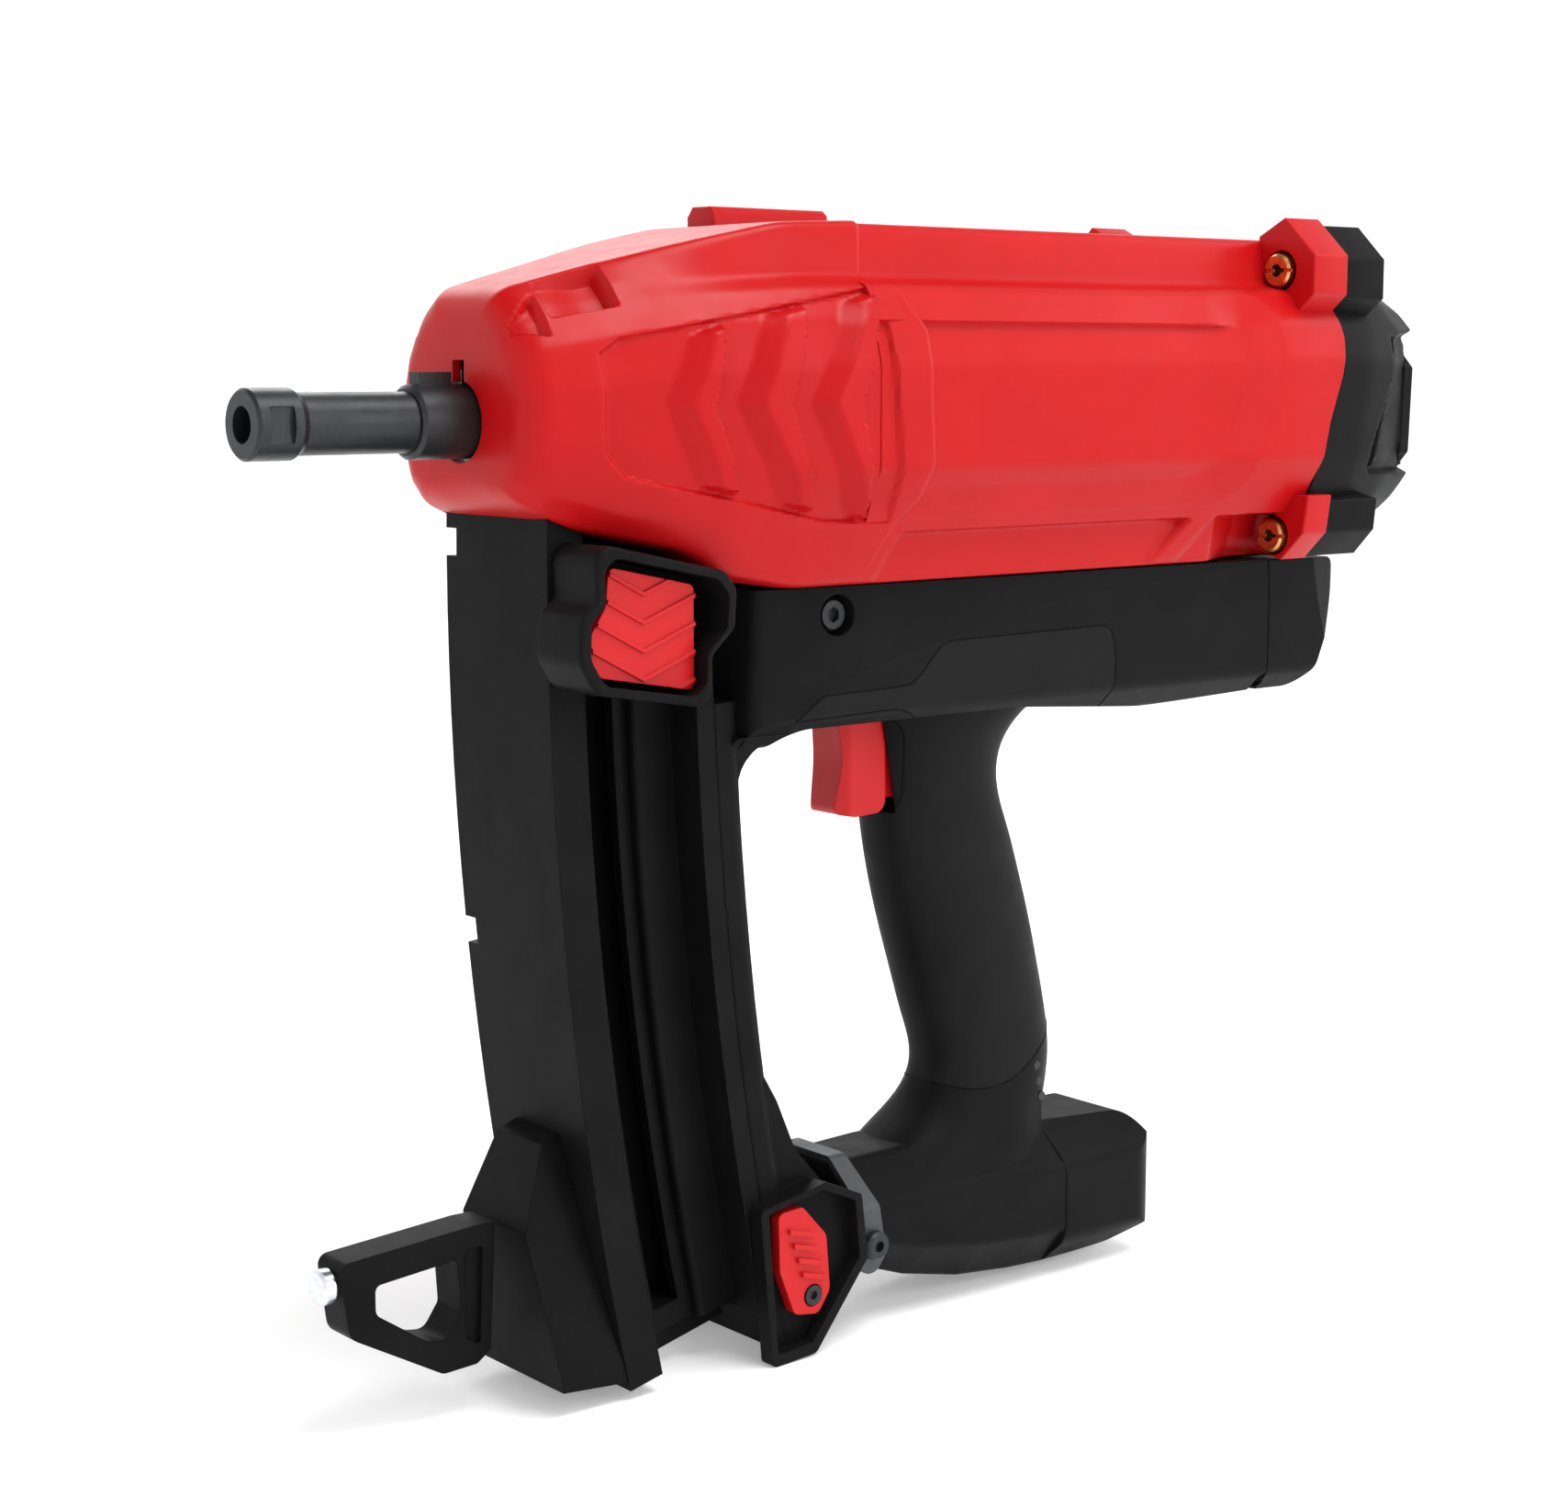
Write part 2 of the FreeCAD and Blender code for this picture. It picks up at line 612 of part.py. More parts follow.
GRIP_TOP = [(156, -85.2), (165.4, -78.3), (199.5, -77.6, 3), (209.5, -65.3, 3), (280, -64.4, 4),
            (284.5, -78, 4), (283.8, -92)]
GRIP_OUTLINE = GRIP_TOP + [(300, -100), (300, -174), (274, -198, 12), (257, -208.6, 12), (241, -210, 16),
                           (222, -204.5, 12), (190, -196), (190, -100), (156, -95)]


def trigger_pocket():
    return box(196, 224, -8.6, 8.6, -119.8, -89.0)


def grip_region():
    """Block that marks off the rubber grip from the housing halves."""
    return side_plate(GRIP_OUTLINE, -60, 60)


def handle_assembly():
    """Lower body, handle, foot and arm as one hollow outer form."""
    grip = handle_solid(0).cut(box(100, 400, -60, 60, -86, 0))
    grip = grip.cut(box(BATTERY_FRONT - 0.3, 400, -60, 60, -300, -225.2))
    front = arm_solid().fuse(side_plate(LATCH_OUTLINE, -30, 28))
    front = front.cut(arc_block(-5, 55.05, -24.8, 24.8, -4, 16))
    front = front.cut(side_plate(LATCH_RECESS, -31, LEVER_BACK))
    outer = joined([body_solid(0), grip, foot_solid(0), front])
    hollow = body_solid(WALL).cut(box(130, 152, -60, 60, -130, 0)).cut(box(347, 360, -60, 60, -130, 0))
    hollow = hollow.fuse(handle_solid(4.4)).fuse(foot_solid(WALL).common(box(194, 269, -60, 60, -280, -200)))
    hollow = hollow.cut(box(268.9, 400, -60, 60, -300, -200)).cut(cross_pin(170, -55.5, 7.5, -40, 40))
    hollow = hollow.fuse(box(268, 273, -12.2, 12.2, -252.2, -237.8))
    outer = outer.cut(hollow)
    outer = outer.cut(trigger_pocket())
    return outer


def main_solids():
    form = handle_assembly()
    skin = form.cut(handle_solid(1.8).fuse(body_solid(1.6)))
    grip = skin.common(grip_region())
    halves = form.cut(grip)
    lights = Part.makeCompound([cross_pin(x, z, 1.5, -60, -4) for x, z in LIGHTS])
    grip = grip.cut(lights)
    halves = halves.cut(cross_pin(170, -55.5, 6.0, -60, -27)).cut(cross_pin(170, -55.5, 2.1, -36, 0))
    halves = halves.cut(cross_pin(164, -255.5, 1.6, -26, -10)).cut(cross_pin(CLAMP_X, CLAMP_Z, 2.6, -40, 40))
    halves = halves.cut(lights)
    halves = halves.cut(door_lug_gap())
    halves = halves.cut(Part.makeCylinder(2.2, 6, V(*TUBE_RISE, -51), V(0, 0, 1)))
    left = halves.common(box(100, 400, -60, 0, -300, 0))
    right = halves.common(box(100, 400, 0, 60, -300, 0))
    return left, right, grip


def door_lug_gap():
    """Slot for the door's hinge knuckle in the body's lower edge."""
    x, z = DOOR_PIN
    return box(x - 12, x, -10.3, 10.3, z - 3, z + 3)


# ---------------------------------------------------------------- fuel system
def fuel_door():
    """Rear end of the lower body, which swings down to load a fuel cell."""
    def blank(i):
        side = side_plate([(350.2, BODY_TOP - 0.3 - i), (390 - i, BODY_TOP - 0.8 - i, 6),
                           (379 - i, -91 + i, 12), (357.4, -91 + i)], -60, 60)
        front = front_plate(mirrored([(23 - i, -93 + i, 5), (31 - i, -85 + i, 6), (34.5 - i, -62, 10),
                                      (36 - i, BODY_TOP - i, 0)]), 340, 400)
        plan = top_plate([(340, -36 + i), (372, -36 + i, 8), (391 - i, -30, 8), (391 - i, 30, 8),
                          (372, 36 - i, 8), (340, 36 - i)], -120, -40)
        return side.common(front).common(plan)
    x, z = DOOR_PIN
    door = blank(0).cut(blank(WALL))
    knuckle = cross_pin(x, z, 2.2, -10, 10).fuse(box(x, x + 6, -10, 10, z - 2.2, z + 0.6))
    return door.fuse(knuckle).cut(cross_pin(x, z, 1.15, -31, 31)).removeSplitter()


def door_pin():
    x, z = DOOR_PIN
    return cross_pin(x, z, 1.1, -18, 18)


def fuel_cell():
    """Gas cell with a domed valve end at the front."""
    can = rod(238, 345, 16.2, 0, -68.2)
    can = can.makeFillet(3.0, can.Edges)
    return can.fuse(rod(230, 239, 6.0, 0, -68.2)).removeSplitter()


def metering_valve():
    valve = ring(214, 236, 10.0, 6.1, 0, -68.2)
    return valve.fuse(rod(214, 229.5, 10.0, 0, -68.2)).removeSplitter()


def gas_tube():
    """Nylon line from the metering valve up to the cylinder head."""
    reach = 8.0
    tilt = reach * (1 - math.sqrt(0.5))
    top = -33.0
    low = -66.0
    x_rise, y = TUBE_RISE
    start = V(219, 10, low)
    bend = [start, V(219, y - reach, low)]
    turn = V(219 + tilt, y - tilt, low)
    first = Part.Arc(bend[1], turn, V(219 + reach, y, low)).toShape()
    run = Part.makeLine(V(219 + reach, y, low), V(x_rise - reach, y, low))
    second = Part.Arc(V(x_rise - reach, y, low), V(x_rise - tilt, y, low + tilt),
                      V(x_rise, y, low + reach)).toShape()
    rise = Part.makeLine(V(x_rise, y, low + reach), V(x_rise, y, top - reach))
    third = Part.Arc(V(x_rise, y, top - reach), V(x_rise + tilt, y, top - tilt),
                     V(x_rise + reach, y, top)).toShape()
    last = Part.makeLine(V(x_rise + reach, y, top), V(HEAD_FLANGE, y, top))
    path = Part.Wire([Part.makeLine(start, bend[1]), first, run, second, rise, third, last])
    profile = Part.Wire(Part.makeCircle(1.6, start, V(0, 1, 0)))
    return path.makePipeShell([profile], True, True)


# ---------------------------------------------------------------- trigger and electronics
def trigger():
    side = side_plate([(192.4, -89.8, 1.5), (209.8, -89.8, 4), (209.8, -119.0, 4), (198, -119.6, 5),
                       (191.2, -118.4, 2.5), (194.0, -103, 30)], -8, 8)
    plan = top_plate([(190.6, -5, 3.5), (196, -8, 4), (211, -8), (211, 8), (196, 8, 4), (190.6, 5, 3.5)],
                     -121, -89)
    stem = box(204, 216, -6.5, 6.5, -115, -93)
    return side.common(plan).fuse(stem)


def trigger_spring():
    return helix_spring(216.1, 223.9, 3.5, 0.5, 3, 0, -98)


def trigger_switch():
    return box(224.1, 240, -6, 6, -116, -92)


def control_board():
    board = box(205, 262, -15, 15, -252, -250.4)
    chips = [box(212, 234, -11, 11, -250.4, -244), box(240, 250, -6, 6, -250.4, -241)]
    return joined([board] + chips)


def status_lights():
    return Part.makeCompound([cross_pin(x, z, 1.45, LIGHT_FACE, -6) for x, z in LIGHTS])


def battery_case():
    """Battery block behind the foot, hollow for its cells."""
    i = WALL
    outer = top_plate([(BATTERY_FRONT, -25.5, 1), (BATTERY_REAR, -25.0, 11), (BATTERY_REAR, 25.0, 11),
                       (BATTERY_FRONT, 25.5, 1)], -275, -223)
    side = side_plate([(BATTERY_FRONT, -225.7), (BATTERY_REAR - 4, -227.5, 9), (BATTERY_REAR, -262, 12),
                       (BATTERY_REAR - 16, -270, 12), (BATTERY_FRONT, -272)], -30, 30)
    front = front_plate(mirrored([(14, -272, 8), (25.5, -262, 8), (25.5, -237, 9), (12, -225.7, 9)]),
                        BATTERY_FRONT, BATTERY_REAR)
    case = outer.common(side).common(front)
    return case.cut(box(BATTERY_FRONT + i, BATTERY_REAR - 9, -21, 21, -262, -235))


def battery_cells():
    return Part.makeCompound([cross_pin(x, -248.0, 7.2, -20.5, 20.5) for x in (283.0, 298.0)])


def contact_block():
    return box(BATTERY_FRONT - 9, BATTERY_FRONT - 0.1, -12, 12, -252, -238)


# ---------------------------------------------------------------- foot clamp
def clamp_bracket():
    """Steel saddle over the front of the foot, held by one screw through it."""
    outer = front_plate([(-26.4, -258), (-26.4, -234.5, 3), (-11.2, -221.4, 3), (11.2, -221.4, 3),
                         (26.4, -234.5, 3), (26.4, -258)], FOOT_FRONT + 0.1, 196)
    inner = front_plate([(-24.1, -260), (-24.1, -235.6, 3), (-10.6, -223.6, 3), (10.6, -223.6, 3),
                         (24.1, -235.6, 3), (24.1, -260)], 180, 200)
    saddle = outer.cut(inner).cut(foot_solid(0))
    side = side_plate([(FOOT_FRONT, -219), (191, -219), (192.5, -236), (195, -250, 6), (189, -257.5, 5),
                       (FOOT_FRONT, -253)], -40, 40)
    return saddle.common(side).cut(cross_pin(CLAMP_X, CLAMP_Z, 2.6, -40, 40))


def clamp_screw():
    screw = cross_pin(CLAMP_X, CLAMP_Z, 2.5, -27, 27).fuse(cross_pin(CLAMP_X, CLAMP_Z, 4.4, -29.6, -26.4))
    screw = screw.fuse(cross_pin(CLAMP_X, CLAMP_Z, 4.4, 26.4, 29.6)).removeSplitter()
    screw = screw.makeChamfer(0.9, [e for e in screw.Edges if abs(e.BoundBox.YMin) > 29.5])
    return screw.cut(hex_socket(CLAMP_X, -29.6, CLAMP_Z, (0, 1, 0), 3.2, 2))


def housing_screws():
    """Screws that hold the two halves together."""
    screws = []
    head = cross_pin(170, -55.5, 4.2, -30.5, -27).fuse(cross_pin(170, -55.5, 2.1, -27, 0)).removeSplitter()
    screws.append(head.cut(hex_socket(170, -30.5, -55.5, (0, 1, 0), 4, 2)))
    pivot = cross_pin(164, -255.5, 1.6, -27.9, -10).fuse(cross_pin(164, -255.5, 3.0, -29.4, -27.8))
    screws.append(pivot.removeSplitter().cut(hex_socket(164, -29.4, -255.5, (0, 1, 0), 2.5, 1.2)))
    return Part.makeCompound(screws)


# ---------------------------------------------------------------- magazine
def magazine_front():
    """Front wall of the magazine, with two notches in its right edge."""
    wall = arc_block(0, 11.5, -MAGAZINE_HALF, MAGAZINE_HALF, MAGAZINE_TOP, MAGAZINE_BOTTOM)
    for top in (-0.86, 5.3):
        wall = wall.cut(arc_block(-1, 4, MAGAZINE_HALF - 5, MAGAZINE_HALF + 1, top, top + NOTCH))
    wall = wall.fuse(arc_block(11.5, 17, -4.6, 4.6, -1.9, 12.6))
    return wall.fuse(arc_block(4, 11.5, -8, 8, -1.9, MAGAZINE_TOP)).removeSplitter()


def magazine_rear():
    """Rear wall and the two side walls of the nail channel; the left one is slotted for the follower."""
    wall = arc_block(49, 55, -MAGAZINE_HALF, MAGAZINE_HALF, MAGAZINE_TOP, MAGAZINE_BOTTOM)
    for y0, y1 in ((-8, -4.6), (4.6, 8)):
        wall = wall.fuse(arc_block(11.5, 49, y0, y1, -1.9, 12.6))
    for y0, y1 in ((-12, -7.5), (7.5, 12)):
        wall = wall.fuse(sector([(36, y0, 2), (44, y0, 2), (49.5, y0), (49.5, y1), (36, y1)]
                                if y0 < 0 else
                                [(36, y0), (49.5, y0), (49.5, y1), (44, y1, 2), (36, y1, 2)],
                                MAGAZINE_TOP, 12.6))
    wall = wall.cut(arc_block(23, 32, -9, -4, -0.6, 12.2))
    return wall.removeSplitter()


def bottom_plug():
    """Stop that closes the foot of the nail channel."""
    return arc_block(17.2, 48.8, -4.4, 4.4, 12.2, 13.0)


def nail_strip():
    """The last four nails under the guide."""
    nails = []
    for k in range(1, 5):
        turn = math.degrees(NAIL_PITCH * k / ARC_R) - math.degrees(-ARC_Z / ARC_R)
        nail = Part.makeCylinder(1.45, 24, V(99, 0, ARC_Z), V(1, 0, 0))
        nail = nail.fuse(Part.makeCone(0.2, 1.45, 4, V(95.5, 0, ARC_Z), V(1, 0, 0)))
        nail = nail.fuse(Part.makeCylinder(3.0, 1.6, V(122, 0, ARC_Z), V(1, 0, 0))).removeSplitter()
        nail.rotate(V(ARC_X, 0, ARC_Z), V(0, 1, 0), -turn)
        nails.append(nail)
    return Part.makeCompound(nails)


def nail_collation():
    """Plastic band that carries the nails."""
    low = math.degrees(NAIL_PITCH * 4 / ARC_R) - math.degrees(-ARC_Z / ARC_R)
    band = arc_block(30, 36, -2.4, 2.4, -1.95, low + 0.15)
    for nail in nail_strip().Solids:
        band = band.cut(nail)
    return band


# ---------------------------------------------------------------- follower
FOLLOWER_OUTLINE = [(78.5, -30.8, 5), (120, -39.8, 5), (124, -45, 4), (123.2, -55.5, 4), (115.4, -62.5, 4),
                    (115, -76.8, 5), (77, -70.5, 6), (71.8, -62, 6), (72.3, -50.5, 4), (77.5, -46, 4),
                    (77, -37, 3)]
FOLLOWER_CENTRE = (99, -55)


def shrunk(outline, centre, factor_x, factor_z):
    """Outline scaled about a centre."""
    cx, cz = centre
    return [(cx + (x - cx) * factor_x, cz + (z - cz) * factor_z, r) for x, z, r in outline]


def follower():
    """Nail follower: a hood to pull on, and a tongue that reaches into the nail channel."""
    hood = side_plate(FOLLOWER_OUTLINE, -45, -25.2)
    rim = [e for e in hood.Edges if e.BoundBox.YMax < -44.9]
    hood = hood.makeFillet(1.2, rim)
    hood = hood.cut(side_plate(shrunk(FOLLOWER_OUTLINE, FOLLOWER_CENTRE, 0.88, 0.86), -46, -29))
    neck = arc_block(12.5, 34.5, -25.4, -13, -0.55, 1.6)
    tongue = arc_block(23.6, 31.4, -13.5, -4.0, -0.3, 1.4)
    pusher = arc_block(17.4, 48.6, -4.2, 4.2, -0.3, 1.4)
    block = hood.fuse(neck).fuse(tongue).fuse(pusher)
    block = block.cut(cross_pin(102, -56, 2.6, -30, -20))
    return block.removeSplitter()


def follower_pad():
    """Ribbed release button inside the hood."""
    outline = [(84.5, -37.5, 2), (112.5, -43.5, 2), (112.5, -72, 2), (81, -66.5, 2.5), (78.6, -61.5, 2),
               (78.8, -55, 2.5), (83.5, -48, 3)]
    pad = side_plate(outline, -40, -32.4)
    ribs = []
    for k in range(5):
        z = -44.5 - 7.6 * k
        ribs.append(side_plate([(78, z + 9.1), (95.5, z), (113, z + 6.6), (113, z + 5.4), (95.5, z - 1.2),
                                (78, z + 7.9)], -40.8, -39.5))
    pad = pad.fuse(joined(ribs).common(side_plate(outline, -41, -39)))
    pad = pad.fuse(cross_pin(102, -56, 2.5, -33, -24)).removeSplitter()
    return pad


def pad_spring():
    spring = helix_spring(0, 3.2, 4.4, 0.4, 3)
    spring.rotate(V(0, 0, 0), V(0, 0, 1), 90)
    spring.translate(V(102, -32.35, -56))
    return spring


def follower_spring():
    """Rolled constant-force spring beside the nail channel."""
    roll = cross_pin(96, -28, 5.0, 9, 17).cut(cross_pin(96, -28, 2.0, 8, 18))
    return roll


# ---------------------------------------------------------------- magazine lock and support foot
def lock_lever():
    """Red lever that lets the magazine swing off; it turns on a screw."""
    outline = [(151, -228.5, 2), (160, -228, 2), (169, -238, 3), (170.5, -255, 4), (166, -261.5, 3),
               (157, -260, 3), (151.5, -246, 3)]
    lever = side_plate(outline, -29, LEVER_BACK - 0.3)
    for k in range(4):
        x, z = 154.5 + 1.6 * k, -233.5 - 4.6 * k
        bar = side_plate([(x, z), (x + 9, z - 2.6), (x + 9, z - 4.2), (x, z - 1.6)], -30.2, -28.5)
        lever = lever.fuse(bar)
    lever = lever.cut(cross_pin(164, -255.5, 1.65, -31, -20)).cut(cross_pin(164, -255.5, 3.4, -31, -27.6))
    return lever.removeSplitter()


def foot_wedge():
    """Wedge on the magazine's front that carries the support foot."""
    x0, z0 = arc_point(0, 8.65)
    x1, z1 = arc_point(0, 12.6)
    x2, z2 = arc_point(0, 8.5)
    profile = [(x0 - 6.5, z0), (x2 + 1, z2), arc_point(-0.1, 10.5), (x1, z1), (x1 - 22, z1 + 2), (72, -222)]
    blank = side_plate(profile, -24, 24)
    taper = front_plate(mirrored([(24, -272, 0), (24, -262, 0), (10.25, -196, 0)]), 50, 110)
    wedge = blank.common(taper)
    return wedge.cut(arc_block(0, 20, -30, 30, 8, 13.5))


def support_foot():
    """Triangular loop that steadies the tool against the wall beside the nail."""
    outline = [(19, -222, 3), (62, -219.4, 2), (68.5, -219.6), (66.5, -256), (62, -259, 2), (51, -259.5, 4),
               (22, -243, 5)]
    loop = side_plate(outline, -6, 6)
    gap = side_plate([(30, -230, 2), (56, -228, 2), (57, -243, 3), (52, -250, 4), (46, -249, 4),
                      (30, -238, 3)], -7, 7)
    loop = loop.cut(gap)
    for side in (-1, 1):
        y0, y1 = sorted((side * 4.2, side * 7))
        dish = side_plate([(58.5, -226, 1), (64.5, -225.6, 1), (63.2, -254, 1), (58.5, -251, 1)], y0, y1)
        loop = loop.cut(dish)
    return loop.cut(rod(10, 27, 3.0, 0, -229))


def foot_pin():
    """Zinc-plated buffer pin at the front of the support foot."""
    pin = rod(15.5, 18.9, 5.0, 0, -229).fuse(rod(18.9, 27, 3.0, 0, -229)).removeSplitter()
    return pin.makeChamfer(0.8, [e for e in pin.Edges if e.BoundBox.XMax < 15.6])


PARTS = [muzzle_tip, barrel_tube, probe_collar, probe_linkage, probe_springs, nose_bushing, nail_guide,
         cylinder_block, bumper, cylinder_liner, piston, piston_rings, driver_blade, chamber_sleeve,
         cylinder_head, chamber_seals, fan_motor, fan_shaft, fan, spark_plug,
         ignition_coil, front_cowl, rear_housing, threaded_inserts, cap_bolts, rear_cap, filter_cover,
         air_filter, fuel_door, door_pin, fuel_cell, metering_valve, gas_tube, trigger, trigger_spring,
         trigger_switch, control_board, status_lights, battery_case, battery_cells, contact_block,
         clamp_bracket, clamp_screw, housing_screws, magazine_front, magazine_rear, bottom_plug,
         nail_strip, nail_collation, follower, follower_pad, pad_spring, follower_spring, lock_lever,
         foot_wedge, support_foot, foot_pin]

for maker in PARTS:
    export(maker.__name__, maker())
left_half, right_half, grip_skin = main_solids()
export("left_handle_half", left_half)
export("right_handle_half", right_half)
export("rubber_grip", grip_skin)
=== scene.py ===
import json
import math

import bmesh
import bpy
import numpy as np
from mathutils import Matrix, Vector
from mathutils.bvhtree import BVHTree


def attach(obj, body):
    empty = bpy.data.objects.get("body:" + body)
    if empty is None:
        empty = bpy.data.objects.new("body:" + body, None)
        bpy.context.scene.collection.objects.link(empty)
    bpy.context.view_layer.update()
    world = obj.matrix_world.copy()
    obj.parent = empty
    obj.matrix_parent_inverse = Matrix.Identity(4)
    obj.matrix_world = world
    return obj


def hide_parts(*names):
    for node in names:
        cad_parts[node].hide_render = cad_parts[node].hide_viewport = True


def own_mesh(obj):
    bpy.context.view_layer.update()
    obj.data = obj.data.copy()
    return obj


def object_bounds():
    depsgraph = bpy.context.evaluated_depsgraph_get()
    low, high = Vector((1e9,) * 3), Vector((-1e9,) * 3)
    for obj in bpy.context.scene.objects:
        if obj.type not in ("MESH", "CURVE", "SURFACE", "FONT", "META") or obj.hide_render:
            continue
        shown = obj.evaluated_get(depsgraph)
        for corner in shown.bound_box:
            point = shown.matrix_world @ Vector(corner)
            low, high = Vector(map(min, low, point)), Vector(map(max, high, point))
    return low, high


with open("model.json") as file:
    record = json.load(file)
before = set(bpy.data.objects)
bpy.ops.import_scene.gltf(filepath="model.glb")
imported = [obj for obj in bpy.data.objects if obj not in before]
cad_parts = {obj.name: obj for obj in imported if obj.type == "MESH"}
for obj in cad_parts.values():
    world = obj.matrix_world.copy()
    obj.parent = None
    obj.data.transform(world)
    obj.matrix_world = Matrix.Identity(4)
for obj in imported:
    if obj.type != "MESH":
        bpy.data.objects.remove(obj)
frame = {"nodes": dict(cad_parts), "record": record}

cad_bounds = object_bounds()
nodes = frame["nodes"]
MM = 0.001


# ---------------------------------------------------------------- camera, floor and light
CAMERA_PLACE = Vector((-0.34186, -0.63140, 0.01506))
CAMERA_AZIMUTH = -39.4
CAMERA_DOWN = 7.85
LENS = 63.86
FLOOR_CENTRE_X = 0.2
FLOOR_SIDES = 64
# Profile of the floor: reach from its centre, then rise
FLOOR_PROFILE = [(0.0, 0.0), (1.2, 0.0), (1.7, 0.04), (2.1, 0.2), (2.35, 0.5), (2.45, 1.0),
                 (2.45, 2.6)]
FLOOR_GLOW = 0.24
WORLD_STRENGTH = 0.2
LIGHTS = [
    # name, place, target, size, power in watts
    ("key_top", (0.4, -0.55, 1.35), (0.2, 0, 0), (1.0, 0.7), 20),
    ("side_left", (0.75, -1.45, 0.5), (0.2, 0, -0.05), (0.5, 1.0), 5),
    ("front_strip", (-1.5, 0.15, 0.25), (0.1, 0, 0), (0.35, 0.9), 0.5),
    ("rear_fill", (1.5, -0.5, 0.5), (0.3, 0, 0), (0.5, 0.9), 3),
    ("back_rim", (0.6, 1.2, 0.9), (0.2, 0, 0), (0.9, 0.6), 6),
]


def make_camera():
    """Camera at the three-quarter view from the muzzle's left side."""
    turn = math.radians(CAMERA_AZIMUTH)
    tilt = math.radians(CAMERA_DOWN)
    level = math.cos(tilt)
    back = Vector((math.sin(turn) * level, -math.cos(turn) * level, math.sin(tilt)))
    data = bpy.data.cameras.new("camera")
    data.lens = LENS
    data.sensor_width = 36.0
    data.clip_start = 0.01
    camera = bpy.data.objects.new("camera", data)
    camera.location = CAMERA_PLACE
    camera.rotation_euler = (-back).to_track_quat("-Z", "Y").to_euler()
    bpy.context.scene.collection.objects.link(camera)
    bpy.context.scene.camera = camera


def make_floor(height):
    """Pale floor that curves up into a backdrop all round."""
    verts = []
    faces = []
    for reach, rise in FLOOR_PROFILE:
        for k in range(FLOOR_SIDES):
            turn = 2 * math.pi * k / FLOOR_SIDES
            x = FLOOR_CENTRE_X + reach * math.cos(turn)
            verts.append((x, reach * math.sin(turn), height + rise))
    for i in range(len(FLOOR_PROFILE) - 1):
        for k in range(FLOOR_SIDES):
            a = i * FLOOR_SIDES + k
            b = i * FLOOR_SIDES + (k + 1) % FLOOR_SIDES
            faces.append((a, b, b + FLOOR_SIDES, a + FLOOR_SIDES))
    mesh = bpy.data.meshes.new("floor")
    mesh.from_pydata(verts, [], faces)
    mesh.polygons.foreach_set("use_smooth", [True] * len(faces))
    floor = bpy.data.objects.new("floor", mesh)
    bpy.context.scene.collection.objects.link(floor)
    material = bpy.data.materials.new("floor_paper")
    material.use_nodes = True
    shader = material.node_tree.nodes["Principled BSDF"]
    shader.inputs["Base Color"].default_value = (0.93, 0.93, 0.93, 1)
    shader.inputs["Roughness"].default_value = 0.8
    shader.inputs["Emission Color"].default_value = (1, 1, 1, 1)
    shader.inputs["Emission Strength"].default_value = FLOOR_GLOW
    mesh.materials.append(material)


def area_light(name, place, target, size, power):
    data = bpy.data.lights.new(name, "AREA")
    data.shape = "RECTANGLE"
    data.size, data.size_y = size
    data.energy = power
    light = bpy.data.objects.new(name, data)
    light.location = place
    light.rotation_euler = (Vector(target) - Vector(place)).to_track_quat("-Z", "Y").to_euler()
    bpy.context.scene.collection.objects.link(light)


def make_light():
    world = bpy.data.worlds.new("studio")
    world.use_nodes = True
    world.node_tree.nodes["Background"].inputs["Color"].default_value = (1, 1, 1, 1)
    world.node_tree.nodes["Background"].inputs["Strength"].default_value = WORLD_STRENGTH
    bpy.context.scene.world = world
    scene = bpy.context.scene
    scene.view_settings.view_transform = "Standard"
    scene.view_settings.look = "None"
    for name, place, target, size, power in LIGHTS:
        area_light(name, place, target, size, power)


# ---------------------------------------------------------------- materials
def link(tree, source, socket):
    tree.links.new(source, socket)


def base_material(name, colour, rough, metallic=0.0):
    material = bpy.data.materials.new(name)
    material.use_nodes = True
    shader = material.node_tree.nodes["Principled BSDF"]
    shader.inputs["Base Color"].default_value = (*colour, 1)
    shader.inputs["Roughness"].default_value = rough
    shader.inputs["Metallic"].default_value = metallic
    return material, material.node_tree, shader


def noise(tree, scale, detail=3.0, rough=0.6, stretch=(1, 1, 1)):
    """Noise in object space, in cells per metre."""
    place = tree.nodes.new("ShaderNodeTexCoord")
    mapping = tree.nodes.new("ShaderNodeMapping")
    mapping.inputs["Scale"].default_value = stretch
    texture = tree.nodes.new("ShaderNodeTexNoise")
    texture.inputs["Scale"].default_value = scale
    texture.inputs["Detail"].default_value = detail
    texture.inputs["Roughness"].default_value = rough
    link(tree, place.outputs["Object"], mapping.inputs["Vector"])
    link(tree, mapping.outputs["Vector"], texture.inputs["Vector"])
    return texture.outputs["Fac"]


def spread(tree, value, low, high):
    """Map a noise value, which mostly lies between 0.3 and 0.7, on to a range."""
    node = tree.nodes.new("ShaderNodeMapRange")
    node.inputs["From Min"].default_value = 0.3
    node.inputs["From Max"].default_value = 0.7
    node.inputs["To Min"].default_value = low
    node.inputs["To Max"].default_value = high
    link(tree, value, node.inputs["Value"])
    return node.outputs["Result"]


def mixed(tree, factor, low, high):
    node = tree.nodes.new("ShaderNodeMix")
    node.data_type = "RGBA"
    node.inputs["A"].default_value = (*low, 1)
    node.inputs["B"].default_value = (*high, 1)
    link(tree, factor, node.inputs["Factor"])
    return node.outputs["Result"]


